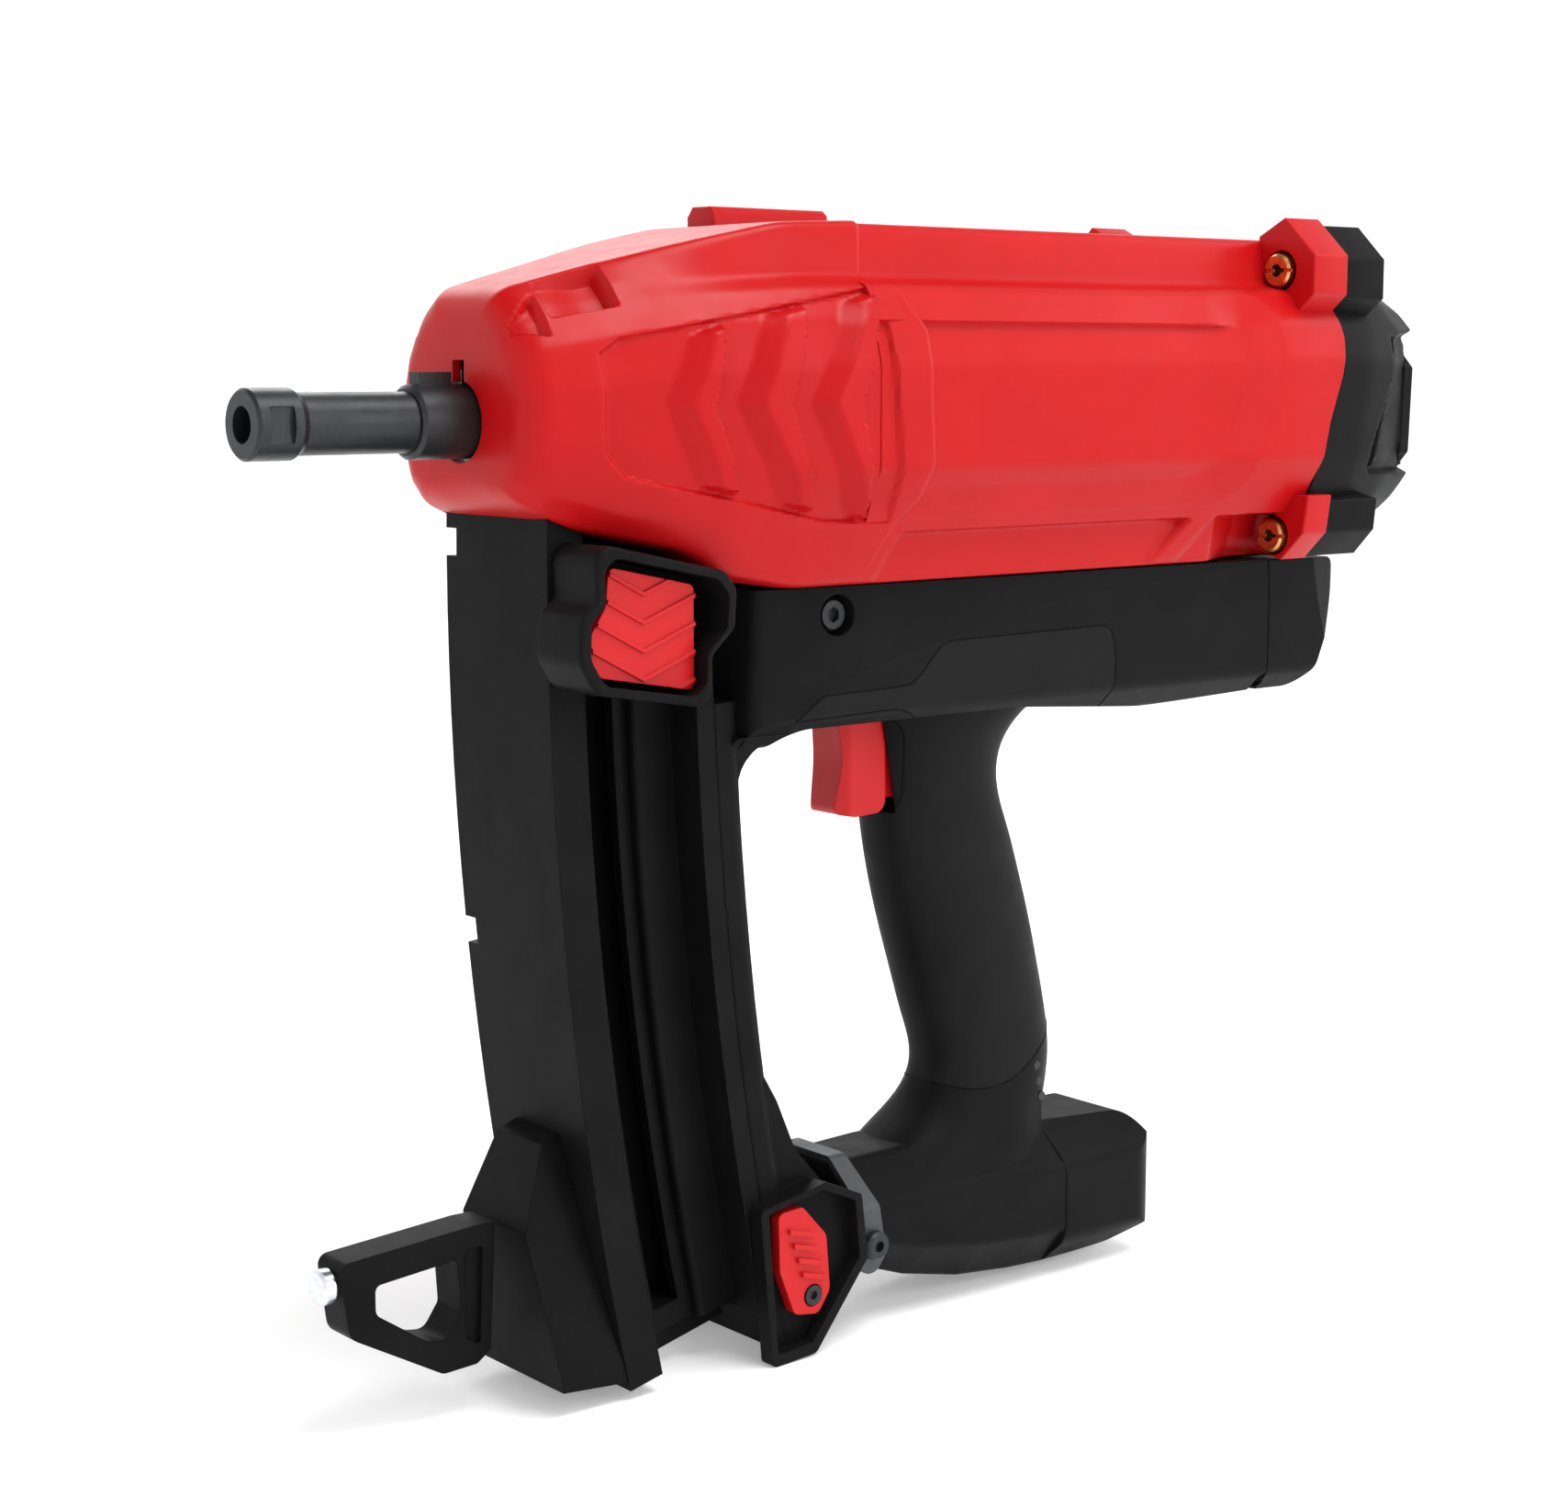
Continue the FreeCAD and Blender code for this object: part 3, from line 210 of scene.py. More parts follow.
def relief(tree, shader, height, distance, rounding):
    """Bump from a height, over softly rounded edges."""
    bump = tree.nodes.new("ShaderNodeBump")
    bump.inputs["Distance"].default_value = distance
    bump.inputs["Strength"].default_value = 1.0
    link(tree, height, bump.inputs["Height"])
    if rounding:
        bevel = tree.nodes.new("ShaderNodeBevel")
        bevel.samples = 4
        bevel.inputs["Radius"].default_value = rounding
        link(tree, bevel.outputs["Normal"], bump.inputs["Normal"])
    link(tree, bump.outputs["Normal"], shader.inputs["Normal"])


def moulded_plastic(name, dark, light, rough, grain, grain_depth, rounding=0.0, shine=0.5):
    """Moulded plastic: spark-eroded grain, faint flow marks, and uneven gloss."""
    material, tree, shader = base_material(name, light, rough)
    shader.inputs["Specular IOR Level"].default_value = shine
    flow = spread(tree, noise(tree, 35.0, 4.0), 0, 1)
    link(tree, mixed(tree, flow, dark, light), shader.inputs["Base Color"])
    gloss = spread(tree, noise(tree, 90.0, 5.0), rough - 0.05, rough + 0.06)
    link(tree, gloss, shader.inputs["Roughness"])
    relief(tree, shader, noise(tree, grain, 2.0, 0.5), grain_depth, rounding)
    return material


def metal(name, dark, light, rough, stretch, scale, depth, rounding=0.0003, metallic=1.0):
    """Machined or coated metal with fine lines along its working direction."""
    material, tree, shader = base_material(name, light, rough, metallic)
    marks = noise(tree, scale, 4.0, 0.6, stretch)
    link(tree, mixed(tree, spread(tree, marks, 0, 1), dark, light), shader.inputs["Base Color"])
    gloss = spread(tree, noise(tree, 60.0, 4.0), rough - 0.06, rough + 0.1)
    link(tree, gloss, shader.inputs["Roughness"])
    relief(tree, shader, marks, depth, rounding)
    return material


def make_materials():
    black = ((0.0055, 0.0055, 0.0058), (0.0085, 0.0085, 0.009))
    rubber = ((0.007, 0.007, 0.007), (0.010, 0.010, 0.010))
    plastics = {
        # dark and light colour, roughness, grains per metre, grain depth, edge rounding, shine
        "red_plastic": ((0.43, 0.003, 0.004), (0.47, 0.004, 0.006),
                        0.36, 4200.0, 0.000012, 0.0005, 0.17),
        "red_control": ((0.52, 0.005, 0.007), (0.56, 0.007, 0.010),
                        0.38, 4200.0, 0.000012, 0.0005, 0.26),
        "black_plastic": (*black, 0.42, 3600.0, 0.00002, 0.0006, 0.045),
        "battery_plastic": (*black, 0.44, 3600.0, 0.00002, 0.0008, 0.05),
        "grip_rubber": (*rubber, 0.52, 2600.0, 0.00003, 0.0006, 0.07),
        "seal_rubber": ((0.003, 0.003, 0.003), (0.005, 0.005, 0.005),
                        0.7, 1500.0, 0.00003, 0.0, 0.05),
        "foam": ((0.10, 0.11, 0.12), (0.22, 0.23, 0.25), 0.9, 900.0, 0.0006),
        "board": ((0.01, 0.12, 0.04), (0.02, 0.18, 0.06), 0.35, 800.0, 0.00003),
        "ceramic": ((0.78, 0.77, 0.73), (0.85, 0.84, 0.8), 0.2, 700.0, 0.00001),
        "nylon": ((0.66, 0.65, 0.6), (0.76, 0.75, 0.7), 0.45, 1500.0, 0.00002),
        "cell_wrap": ((0.05, 0.2, 0.3), (0.08, 0.28, 0.4), 0.3, 700.0, 0.00002),
        "light_pipe": ((0.003, 0.003, 0.003), (0.006, 0.006, 0.006), 0.15, 900.0, 0.00001),
    }
    metals = {
        # dark and light colour, roughness, stretch and scale of the marks and their depth,
        # edge rounding, metallic
        "black_steel": ((0.028, 0.030, 0.032), (0.042, 0.044, 0.047), 0.36, (6, 1, 1), 500.0,
                        0.000012, 0.0004, 0.75),
        "grey_steel": ((0.055, 0.06, 0.066), (0.075, 0.08, 0.087), 0.42, (1, 1, 1), 700.0, 0.000012,
                       0.0005, 0.6),
        "brass": ((0.52, 0.22, 0.07), (0.76, 0.42, 0.14), 0.3, (8, 1, 1), 600.0, 0.00002, 0.0002),
        "zinc": ((0.62, 0.64, 0.70), (0.82, 0.84, 0.88), 0.22, (1, 1, 1), 500.0, 0.00001, 0.0004),
        "steel": ((0.42, 0.42, 0.43), (0.62, 0.62, 0.63), 0.3, (1, 8, 8), 500.0, 0.00002),
        "aluminium": ((0.58, 0.59, 0.60), (0.74, 0.74, 0.75), 0.38, (1, 1, 1), 500.0, 0.00003),
    }
    made = {name: moulded_plastic(name, *values) for name, values in plastics.items()}
    made.update({name: metal(name, *values) for name, values in metals.items()})
    return made


def dress_nodes(materials):
    """Give every CAD node the material of its slot."""
    for part in frame["record"]["subparts"]:
        mesh = nodes[part["node"]].data
        mesh.materials.clear()
        mesh.materials.append(materials[part["material_slot"]])


# ---------------------------------------------------------------- shapes (millimetres)
ANGLE_COUNT = 440
ANGLES = (np.arange(ANGLE_COUNT) + 0.5) * 2 * np.pi / ANGLE_COUNT
RAYS = np.stack([np.cos(ANGLES), np.sin(ANGLES)], axis=1)
SIDE_ANGLE = np.degrees(np.arctan2(RAYS[:, 1], np.abs(RAYS[:, 0])))
WALL = 2.6


def smoothstep(value, low, high):
    t = np.clip((value - low) / (high - low), 0, 1)
    return t * t * (3 - 2 * t)


def window(value, low, high, edge):
    """1 between low and high, falling to 0 over the edge on each side."""
    rising = smoothstep(value, low - edge / 2, low + edge / 2)
    return rising * (1 - smoothstep(value, high - edge / 2, high + edge / 2))


def segment_distance(x, z, a, b):
    dx, dz = b[0] - a[0], b[1] - a[1]
    along = np.clip(((x - a[0]) * dx + (z - a[1]) * dz) / (dx * dx + dz * dz), 0, 1)
    return np.hypot(x - a[0] - along * dx, z - a[1] - along * dz)


def line_distance(x, z, points):
    """Distance to an open line of points."""
    return np.min([segment_distance(x, z, a, b) for a, b in zip(points[:-1], points[1:])], axis=0)


def inside_distance(x, z, corners):
    """Distance to a closed outline, positive inside it."""
    inside = np.zeros(np.shape(x), bool)
    for a, b in zip(corners, corners[1:] + corners[:1]):
        if a[1] != b[1]:
            crossing = a[0] + (z - a[1]) * (b[0] - a[0]) / (b[1] - a[1])
            inside ^= ((a[1] > z) != (b[1] > z)) & (x < crossing)
    distance = line_distance(x, z, corners + corners[:1])
    return np.where(inside, distance, -distance)


def blurred(values, sigma, axis, wrap):
    """Gaussian blur along one axis, sigma in samples."""
    reach = int(3 * sigma) + 1
    kernel = np.exp(-0.5 * (np.arange(-reach, reach + 1) / sigma) ** 2)
    kernel /= kernel.sum()
    pad = [(0, 0), (0, 0)]
    pad[axis] = (reach, reach)
    padded = np.pad(values, pad, mode="wrap" if wrap else "edge")
    return np.apply_along_axis(lambda line: np.convolve(line, kernel, "valid"), axis, padded)


def polar_radius(half_outline):
    """Radius along every ray of an outline given as its right half of (y, z), bottom to top."""
    right = np.array(half_outline, float)
    outline = np.concatenate([right, (right * (-1, 1))[::-1]])
    radius = np.zeros(ANGLE_COUNT)
    for a, b in zip(outline, np.roll(outline, -1, axis=0)):
        edge = b - a
        across = RAYS[:, 0] * edge[1] - RAYS[:, 1] * edge[0]
        across = np.where(np.abs(across) < 1e-9, 1e-9, across)
        reach = (a[0] * edge[1] - a[1] * edge[0]) / across
        along = (a[0] * RAYS[:, 1] - a[1] * RAYS[:, 0]) / across
        hit = (along >= -1e-9) & (along <= 1 + 1e-9) & (reach > 0)
        radius = np.where(hit, np.maximum(radius, reach), radius)
    return radius


def skin_radius(sections, stations, round_angle=1.3, round_x=3.0):
    """Radius grid, station by ray, between outlines placed along X, with softened corners."""
    places = [x for x, outline in sections]
    tracks = np.array([outline for x, outline in sections], float).transpose(1, 2, 0)
    grid = []
    for x in stations:
        corners = [[np.interp(x, places, track) for track in corner] for corner in tracks]
        grid.append(polar_radius(corners))
    grid = blurred(np.array(grid), round_angle * ANGLE_COUNT / 360, 1, True)
    return blurred(grid, round_x, 0, False)


def radius_at(x, even, grid):
    """Radius along every ray at one station, from a grid at even stations."""
    return np.array([np.interp(x, even, grid[:, k]) for k in range(ANGLE_COUNT)])


def bent(x, start, end, seam):
    """Stretch the stations after start so that end lands on a seam that varies from ray to ray."""
    return np.where(x > start, start + (x - start) * (seam - start) / (end - start), x)


def ring_mesh(name, rings, slot):
    """Closed skin through rings of points; the last ring joins the first again."""
    points = np.array(rings, float) * MM
    count, width = points.shape[:2]
    index = np.arange(count * width).reshape(count, width)
    ahead = np.roll(index, -1, axis=0)
    corners = [index, np.roll(index, -1, axis=1), np.roll(ahead, -1, axis=1), ahead]
    faces = np.stack(corners, axis=-1)
    mesh = bpy.data.meshes.new(name)
    mesh.from_pydata(points.reshape(-1, 3).tolist(), [], faces.reshape(-1, 4).tolist())
    return finished(name, mesh, slot, 35)


def finished(name, mesh, slot, sharp):
    """Make a piece from a mesh: outward faces, smooth shading and its material."""
    work = bmesh.new()
    work.from_mesh(mesh)
    bmesh.ops.recalc_face_normals(work, faces=work.faces)
    work.to_mesh(mesh)
    work.free()
    mesh.polygons.foreach_set("use_smooth", [True] * len(mesh.polygons))
    mesh.set_sharp_from_angle(angle=math.radians(sharp))
    mesh.materials.append(MATERIALS[slot])
    piece = bpy.data.objects.new(name, mesh)
    bpy.context.scene.collection.objects.link(piece)
    return piece


def ring_at(x, radius):
    """Ring of points at x, which may vary from ray to ray."""
    return np.stack([x + np.zeros(ANGLE_COUNT), RAYS[:, 0] * radius, RAYS[:, 1] * radius], axis=1)


def sideways(ring, rise):
    """Raise the left and right sides of a ring by a height."""
    ring[:, 1] += np.sign(ring[:, 1]) * rise
    return ring


def prism(name, outline, x0, x1, slot, bevel):
    """Bar along X with a front outline of (y, z), with softened edges."""
    work = bmesh.new()
    front = [work.verts.new((x0 * MM, y * MM, z * MM)) for y, z in outline]
    back = [work.verts.new((x1 * MM, y * MM, z * MM)) for y, z in outline]
    work.faces.new(front)
    work.faces.new(back[::-1])
    for k in range(len(outline)):
        j = (k + 1) % len(outline)
        work.faces.new((front[k], back[k], back[j], front[j]))
    bmesh.ops.bevel(work, geom=work.edges[:], offset=bevel * MM, segments=3, profile=0.7,
                    affect="EDGES")
    mesh = bpy.data.meshes.new(name)
    work.to_mesh(mesh)
    work.free()
    return finished(name, mesh, slot, 30)


# ---------------------------------------------------------------- red front cowl
NOSE = 64.7
NOSE_ROUNDING = 8.0
NOSE_HOLE = 11.0
KEY_SLOT_TOP = 16.3
KEY_SLOT_HALF = 2.8
SEAM = 180.0
SEAM_BEND = 150.0
NOSE_LINING = 4.0
PANEL_ROOM = 2.0
# Room for the magazine in the underside: half width, distance below the axis, front and back
MAGAZINE_ROOM = (25.2, 19.0, 75, 150)
MAGAZINE_LINING = (27.5, 16.5, 72, 152)
# Lowest and highest angle of the relief on the sides, and the width of its fade, in degrees
COWL_SIDE = (-36, 42, 4)
HOUSING_SIDE = (-60, 40, 4)
CAP_SIDE = (-50, 45, 4)
TOP_BLOCK = [(17, 52), (18.5, 59.5), (20.5, 61.0), (28.5, 61.0), (31.0, 58.0), (31.0, 52)]
HOUSING_OUTLINE = [(30, -47), (38, -46.5), (44, -29), (48, -22.5), (53, -14), (53, 15), (50, 26),
                   (44, 37), (35.5, 39), (31.7, 54.5)]
COWL_SECTIONS = [
    # x, then the right half of the outline from the bottom to the top
    (NOSE, [(16, -21.5), (24, -21), (29, -17), (31, -12), (32, -4), (32, 8), (29, 18), (24, 26),
            (20, 30), (14, 34)]),
    (84, [(22, -29), (30, -28.5), (34, -22), (36, -15), (37, -6), (37, 10), (33.5, 21), (28, 29.5),
          (23.5, 34), (18, 39)]),
    (95, [(24, -32), (32, -31), (36, -25), (38, -17), (39.5, -8), (39.5, 11), (36, 23), (30, 31),
          (26, 36), (19, 41.8)]),
    (112, [(26, -35), (36, -34.6), (40, -26), (42, -18), (43.5, -9), (43.5, 13), (40, 25), (34, 33),
           (30, 37), (24, 46)]),
    (126, [(28, -43), (37, -42), (41.5, -30), (44.5, -20), (46.5, -11), (46.5, 14), (43, 26),
           (37.5, 34), (32.5, 38), (28, 49.3)]),
    (150, [(30, -47), (38, -46.5), (43, -30), (47, -22), (50.5, -14), (50.5, 15), (47, 27),
           (41, 36), (34.5, 39.5), (31, 54.2)]),
    (SEAM, [(30, -47), (38, -46.5), (45, -29), (49, -22.5), (53.4, -14), (53.4, 15), (50.5, 26),
            (44.5, 37), (36, 39.4), (32.2, 55.3)]),
]
# Seam between cowl and housing: angle above the horizontal, and x
SEAM_LINE = [(-90, 174), (-50, 174.5), (-33, 182), (-26, 187), (-12, 189), (8, 188), (26, 188),
             (41, 181), (48, 175), (60, 178), (90, 178)]
SIDE_PANEL = [(86, 18), (92, 22), (173, 36.5), (178, -29), (155, -28), (92, -14.5), (86, -8)]
LOUVERS = [
    # bottom left, tip, top left, top right, middle right, bottom right
    [(112.8, -17.2), (103.5, 5), (111.7, 22.9), (122, 25.7), (116.8, 4), (124.7, -20)],
    [(137.9, -22.4), (123.8, 5), (134.3, 28), (147.9, 31.3), (139.4, 4), (149.4, -25.3)],
    [(161, -25.8), (146.5, 5), (160.6, 31.7), (172.9, 35.4), (162.5, 4), (168.5, -28.6)],
]
PANEL_DEPTH = 1.5
LOUVER_RISE = 3.8
LOUVER_RAMP = 5.5


def cowl_rise(x, z):
    """Height of the louvers and depth of the panel on the cowl's sides."""
    rise = -PANEL_DEPTH * smoothstep(inside_distance(x, z, SIDE_PANEL), -0.4, 0.9)
    for louver in LOUVERS:
        ramp = np.clip(line_distance(x, z, louver[:3]) / LOUVER_RAMP, 0, 1)
        rise = rise + LOUVER_RISE * ramp * smoothstep(inside_distance(x, z, louver), 0, 0.9)
    return rise


def cowl_pockets(x):
    """Depth of the two pockets in the corner between side and top at the nose."""
    widening = window(SIDE_ANGLE, 47 - 0.9 * (x - 64), 47 + 1.1 * (x - 64), 2.5)
    front = 3.0 * window(x, 66.5, 74.0, 1.5) * widening
    depth = 2.0 + 3.0 * smoothstep(x, 76, 92)
    return front + depth * window(x, 76.5, 95.0, 1.4) * window(SIDE_ANGLE, 46, 64, 3)


def above_magazine(radius, x, half, below, front, back):
    """Keep the cowl above the magazine, which stands in its underside."""
    over = (np.abs(RAYS[:, 0] * radius) < half) & (RAYS[:, 1] < 0) & (front < x < back)
    return np.where(over, np.minimum(radius, below / np.maximum(-RAYS[:, 1], 0.01)), radius)


def front_cowl():
    turns = np.linspace(0, np.pi / 2, 9)
    rounded = NOSE + NOSE_ROUNDING * (1 - np.cos(turns))
    stations = np.concatenate([rounded, np.arange(NOSE + 8.7, SEAM, 0.78), [SEAM]])
    even = np.arange(NOSE, SEAM + 1, 1.0)
    grid = skin_radius(COWL_SECTIONS, even)
    hole = np.full(ANGLE_COUNT, NOSE_HOLE)
    up = RAYS[:, 1] > 0
    slot_reach = np.minimum(KEY_SLOT_TOP / np.maximum(RAYS[:, 1], 0.01),
                            KEY_SLOT_HALF / np.maximum(np.abs(RAYS[:, 0]), 0.01))
    hole = np.where(up, np.maximum(hole, slot_reach), hole)
    seam = np.interp(SIDE_ANGLE, [a for a, x in SEAM_LINE], [x for a, x in SEAM_LINE])
    outer = []
    for x in stations:
        radius = radius_at(x, even, grid)
        lead = np.clip(NOSE_ROUNDING - (x - NOSE), 0, None)
        radius = radius - (NOSE_ROUNDING - np.sqrt(NOSE_ROUNDING ** 2 - lead ** 2))
        radius = radius - cowl_pockets(x) - 1.0 * smoothstep(x, SEAM - 1.2, SEAM + 0.4)
        radius = above_magazine(radius, x, *MAGAZINE_ROOM)
        place = bent(x, SEAM_BEND, SEAM, seam)
        ring = ring_at(place, radius)
        on_side = window(SIDE_ANGLE, *COWL_SIDE)
        outer.append(sideways(ring, cowl_rise(place, ring[:, 2]) * on_side))
    nose = outer[0]
    hub = ring_at(NOSE, hole)
    inner = []
    for x in np.linspace(SEAM, NOSE + WALL, 30):
        radius = radius_at(x, even, grid) - WALL - PANEL_ROOM
        radius = radius - cowl_pockets(x)
        radius = radius - NOSE_LINING * (1 - smoothstep(x, NOSE + 2, NOSE + 14))
        radius = above_magazine(radius, x, *MAGAZINE_LINING)
        place = bent(x, SEAM_BEND, SEAM, seam)
        inner.append(ring_at(place, np.maximum(radius, hole + 0.5)))
    rings = [ring_at(NOSE + WALL, hole), hub, (hub + nose) / 2, *outer, *inner]
    piece = ring_mesh("cowl_shell", rings, "red_plastic")
    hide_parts("front_cowl")
    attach(piece, "tool")
    block = prism("top_block", TOP_BLOCK, 165, 209, "red_plastic", 1.0)
    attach(block, "tool")


# ---------------------------------------------------------------- red rear housing
HOUSING_FRONT = 170.0
HOUSING_BEND = 335.0
CAP_FRONT = 362.7
FLANGE_OUTLINE = [(30, -47), (38, -46.5), (45, -32), (50, -24), (54.6, -14), (54.6, 17), (51.5, 28),
                  (45, 38), (36, 40), (31.7, 54.5)]
# Rear edge of the housing: height and x
REAR_SEAM = [(-50, CAP_FRONT), (-38, 356), (-30, 352), (-23, 352), (-9, 355), (-3, 356.5),
             (11.5, 362), (23.5, 364.5), (35, CAP_FRONT), (60, CAP_FRONT)]
LONG_PANEL = [(165, 27), (319, 26.9), (322.7, 22.7), (311, -13.7), (304, -18), (297.6, -19.6),
              (165, -20)]
PANEL_SINK = 2.2
SHELF_TOP = -32
SHELF_DEPTH = 3.6
LOWER_SHELF = [(186, SHELF_TOP), (350, SHELF_TOP), (350, -46), (178, -46)]
SHELF_WEB = [(313, -30), (295, -48)]
NUT_POCKET = 9.5
NUT_RAMP_FRONT = 319
NUT_RAMP_LENGTH = 18
TOP_DISHES = [205, 236, 267, 298]
DISH_DEPTH = 1.2
DISH_EDGE = (10.4, 11.2)


def nut_pocket(x, z):
    """Depth of the ramp that sinks towards the lower barrel nut."""
    ramp = np.clip((x - NUT_RAMP_FRONT) / NUT_RAMP_LENGTH, 0, 1)
    return NUT_POCKET * ramp * smoothstep(SHELF_TOP - z, -0.5, 1.0)


def housing_rise(x, z):
    """Sunk side panel with a ramp below and behind it, and the shelf along the lower edge."""
    outside = -inside_distance(x, z, LONG_PANEL)
    width = 8 + 5 * smoothstep(x, 298, 316)
    upper_edge = smoothstep(z, 8, 18) * (1 - smoothstep(x, 304, 320))
    ramp = np.clip(1 - np.maximum(outside, 0) / width, 0, 1) * (1 - upper_edge)
    sunk = np.maximum(smoothstep(-outside, -0.4, 0.9), ramp)
    shelf = smoothstep(inside_distance(x, z, LOWER_SHELF), -0.4, 0.8)
    shelf = shelf * smoothstep(line_distance(x, z, SHELF_WEB), 3.2, 5.5)
    shelf_depth = np.clip(SHELF_DEPTH + (z - SHELF_TOP) * 0.2, 0.8, SHELF_DEPTH)
    return -PANEL_SINK * sunk - shelf_depth * shelf - nut_pocket(x, z)


def rear_housing():
    even = np.arange(HOUSING_FRONT, CAP_FRONT + 1, 1.0)
    sections = [(HOUSING_FRONT, HOUSING_OUTLINE), (300, HOUSING_OUTLINE), (338, FLANGE_OUTLINE),
                (CAP_FRONT, FLANGE_OUTLINE)]
    grid = skin_radius(sections, even, 1.1, 4.0)
    seam_z = [z for z, x in REAR_SEAM]
    seam_x = [x for z, x in REAR_SEAM]
    outer = []
    for x in np.linspace(HOUSING_FRONT, CAP_FRONT, 170):
        radius = radius_at(x, even, grid)
        ring = ring_at(x, radius)
        seam = np.interp(ring[:, 2], seam_z, seam_x)
        place = bent(x, HOUSING_BEND, CAP_FRONT, seam)
        for dish in TOP_DISHES:
            from_centre = np.hypot(x - dish, ring[:, 1])
            ring[:, 2] -= DISH_DEPTH * (1 - smoothstep(from_centre, *DISH_EDGE)) * (ring[:, 2] > 50)
        ring[:, 0] = place
        on_side = window(SIDE_ANGLE, *HOUSING_SIDE)
        outer.append(sideways(ring, housing_rise(place, ring[:, 2]) * on_side))
    inner = []
    for x in np.linspace(CAP_FRONT, HOUSING_FRONT, 24):
        radius = radius_at(x, even, grid) - 2 * WALL
        ring = ring_at(x, radius)
        seam = np.interp(ring[:, 2], seam_z, seam_x)
        ring[:, 0] = bent(x, HOUSING_BEND, CAP_FRONT, seam)
        inner.append(sideways(ring, -nut_pocket(ring[:, 0], ring[:, 2])))
    piece = ring_mesh("housing_shell", outer + inner, "red_plastic")
    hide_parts("rear_housing")
    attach(piece, "tool")


EAR_FRONT = 346.4
UPPER_EAR = [(31.7, 40), (31.7, 55.5), (42.4, 61.2), (55, 49.3), (55, 37), (47, 30)]
LOWER_EAR = [(33, -44), (44, -47), (53, -38), (54.8, -26), (45, -26)]
UPPER_NUT = (41.2, 44.5)
LOWER_NUT = (40.4, -39.2)
NUT_HOLE_R = 6.4
LOWER_EAR_BACK = 358.0


def drilled(piece, y, z, radius, x0, x1):
    """Bore a round hole along X."""
    work = bmesh.new()
    turn = Matrix.Rotation(math.radians(90), 4, "Y")
    shift = Matrix.Translation(Vector(((x0 + x1) / 2, y, z)) * MM)
    bmesh.ops.create_cone(work, cap_ends=True, segments=48, radius1=radius * MM,
                          radius2=radius * MM, depth=(x1 - x0) * MM, matrix=shift @ turn)
    mesh = bpy.data.meshes.new("drill")
    work.to_mesh(mesh)
    work.free()
    drill = bpy.data.objects.new("drill", mesh)
    bpy.context.scene.collection.objects.link(drill)
    cut = piece.modifiers.new("bore", "BOOLEAN")
    cut.object = drill
    bpy.context.view_layer.update()
    solved = piece.evaluated_get(bpy.context.evaluated_depsgraph_get())
    result = bpy.data.meshes.new_from_object(solved)
    piece.modifiers.clear()
    piece.data = result
    bpy.data.objects.remove(drill)


def housing_ears():
    """Red front corner lugs round the four barrel nuts, and the top bump; the black lugs behind are
    made with the rear cap.
    """
    for side, hand in ((-1, "left"), (1, "right")):
        for outline, level, back, (y, z) in ((UPPER_EAR, "upper", CAP_FRONT, UPPER_NUT),
                                             (LOWER_EAR, "lower", LOWER_EAR_BACK, LOWER_NUT)):
            corners = [(side * a, b) for a, b in outline]
            ear = prism(f"housing_ear_{hand}_{level}", corners, EAR_FRONT, back, "red_plastic", 0.9)
            drilled(ear, side * y, z, NUT_HOLE_R, EAR_FRONT - 3, back - 1.5)
            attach(ear, "tool")
    bump = prism("top_bump", [(22, 52), (22, 57), (30, 57), (30, 52)], 293, 306, "red_plastic", 0.8)
    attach(bump, "tool")


# ---------------------------------------------------------------- rear cap
CAP_BACK = 424.0
CAP_ROUNDING = 4.0
CAP_WALL = 4.0
# Rear edge of the cap: height and x
CAP_REAR = [(-47, 388), (-44, 397), (-37, 402), (-36, 411), (-21, 421.5), (27, 423.5), (43, 413),
            (47, 404)]
CAP_SECTIONS = [
    (CAP_FRONT, [(30, -47), (40, -45.5), (46, -36), (49.5, -28), (54, -14), (54, 17), (50.5, 28),
                 (44, 38), (36, 42), (26, 47)]),
    (380, [(30, -46.5), (40, -44), (45, -36), (49, -26), (53, -14), (53, 17), (50, 27), (43, 38),
           (35, 43), (26, 46)]),
    (400, [(28, -42), (36, -39), (42, -33), (45, -26), (48, -14), (48, 16), (45, 27), (39, 37),
           (32, 42), (24, 44.5)]),
    (CAP_BACK, [(22, -36), (29, -34), (33, -29), (35, -23), (36.5, -14), (36.5, 15), (35, 23),
                (31, 31), (26, 36), (20, 40)]),
]
CAP_HOLE = [(22, -27.3), (26, -23.5), (30, -19), (34.3, -14), (34.3, 0), (34.3, 14), (31, 17.5),
            (27.5, 21.5), (24, 25.3)]
UPPER_CAP_EAR = [(31, 38), (31, 54.5), (42.2, 59.3), (53.3, 48.5), (53.3, 36), (46, 30)]
LOWER_CAP_EAR = [(33, -42), (44, -46.5), (52, -38), (53, -28), (45, -26)]
CAP_EAR_BACK = 383.0
CAP_GAP = 0.1
GRIP_RECESS = [(395, 24.5), (394, 10), (381.5, -13), (381, -18), (384, -20.5), (440, -21),
               (440, 27.5)]
GRIP_RIB = [(401.5, 23), (398, 10), (393.6, 0), (388.5, -16)]
RECESS_DEPTH = 5.0
RIB_HEIGHT = 2.6
SEAM_GAP = 0.15


def cap_rise(x, z):
    """Finger recess on each side of the cap, with one curved rib in it."""
    deep = smoothstep(inside_distance(x, z, GRIP_RECESS), -0.5, 2.2)
    rib = 1 - smoothstep(line_distance(x, z, GRIP_RIB), 1.0, 2.6)
    return -RECESS_DEPTH * deep + RIB_HEIGHT * rib * deep


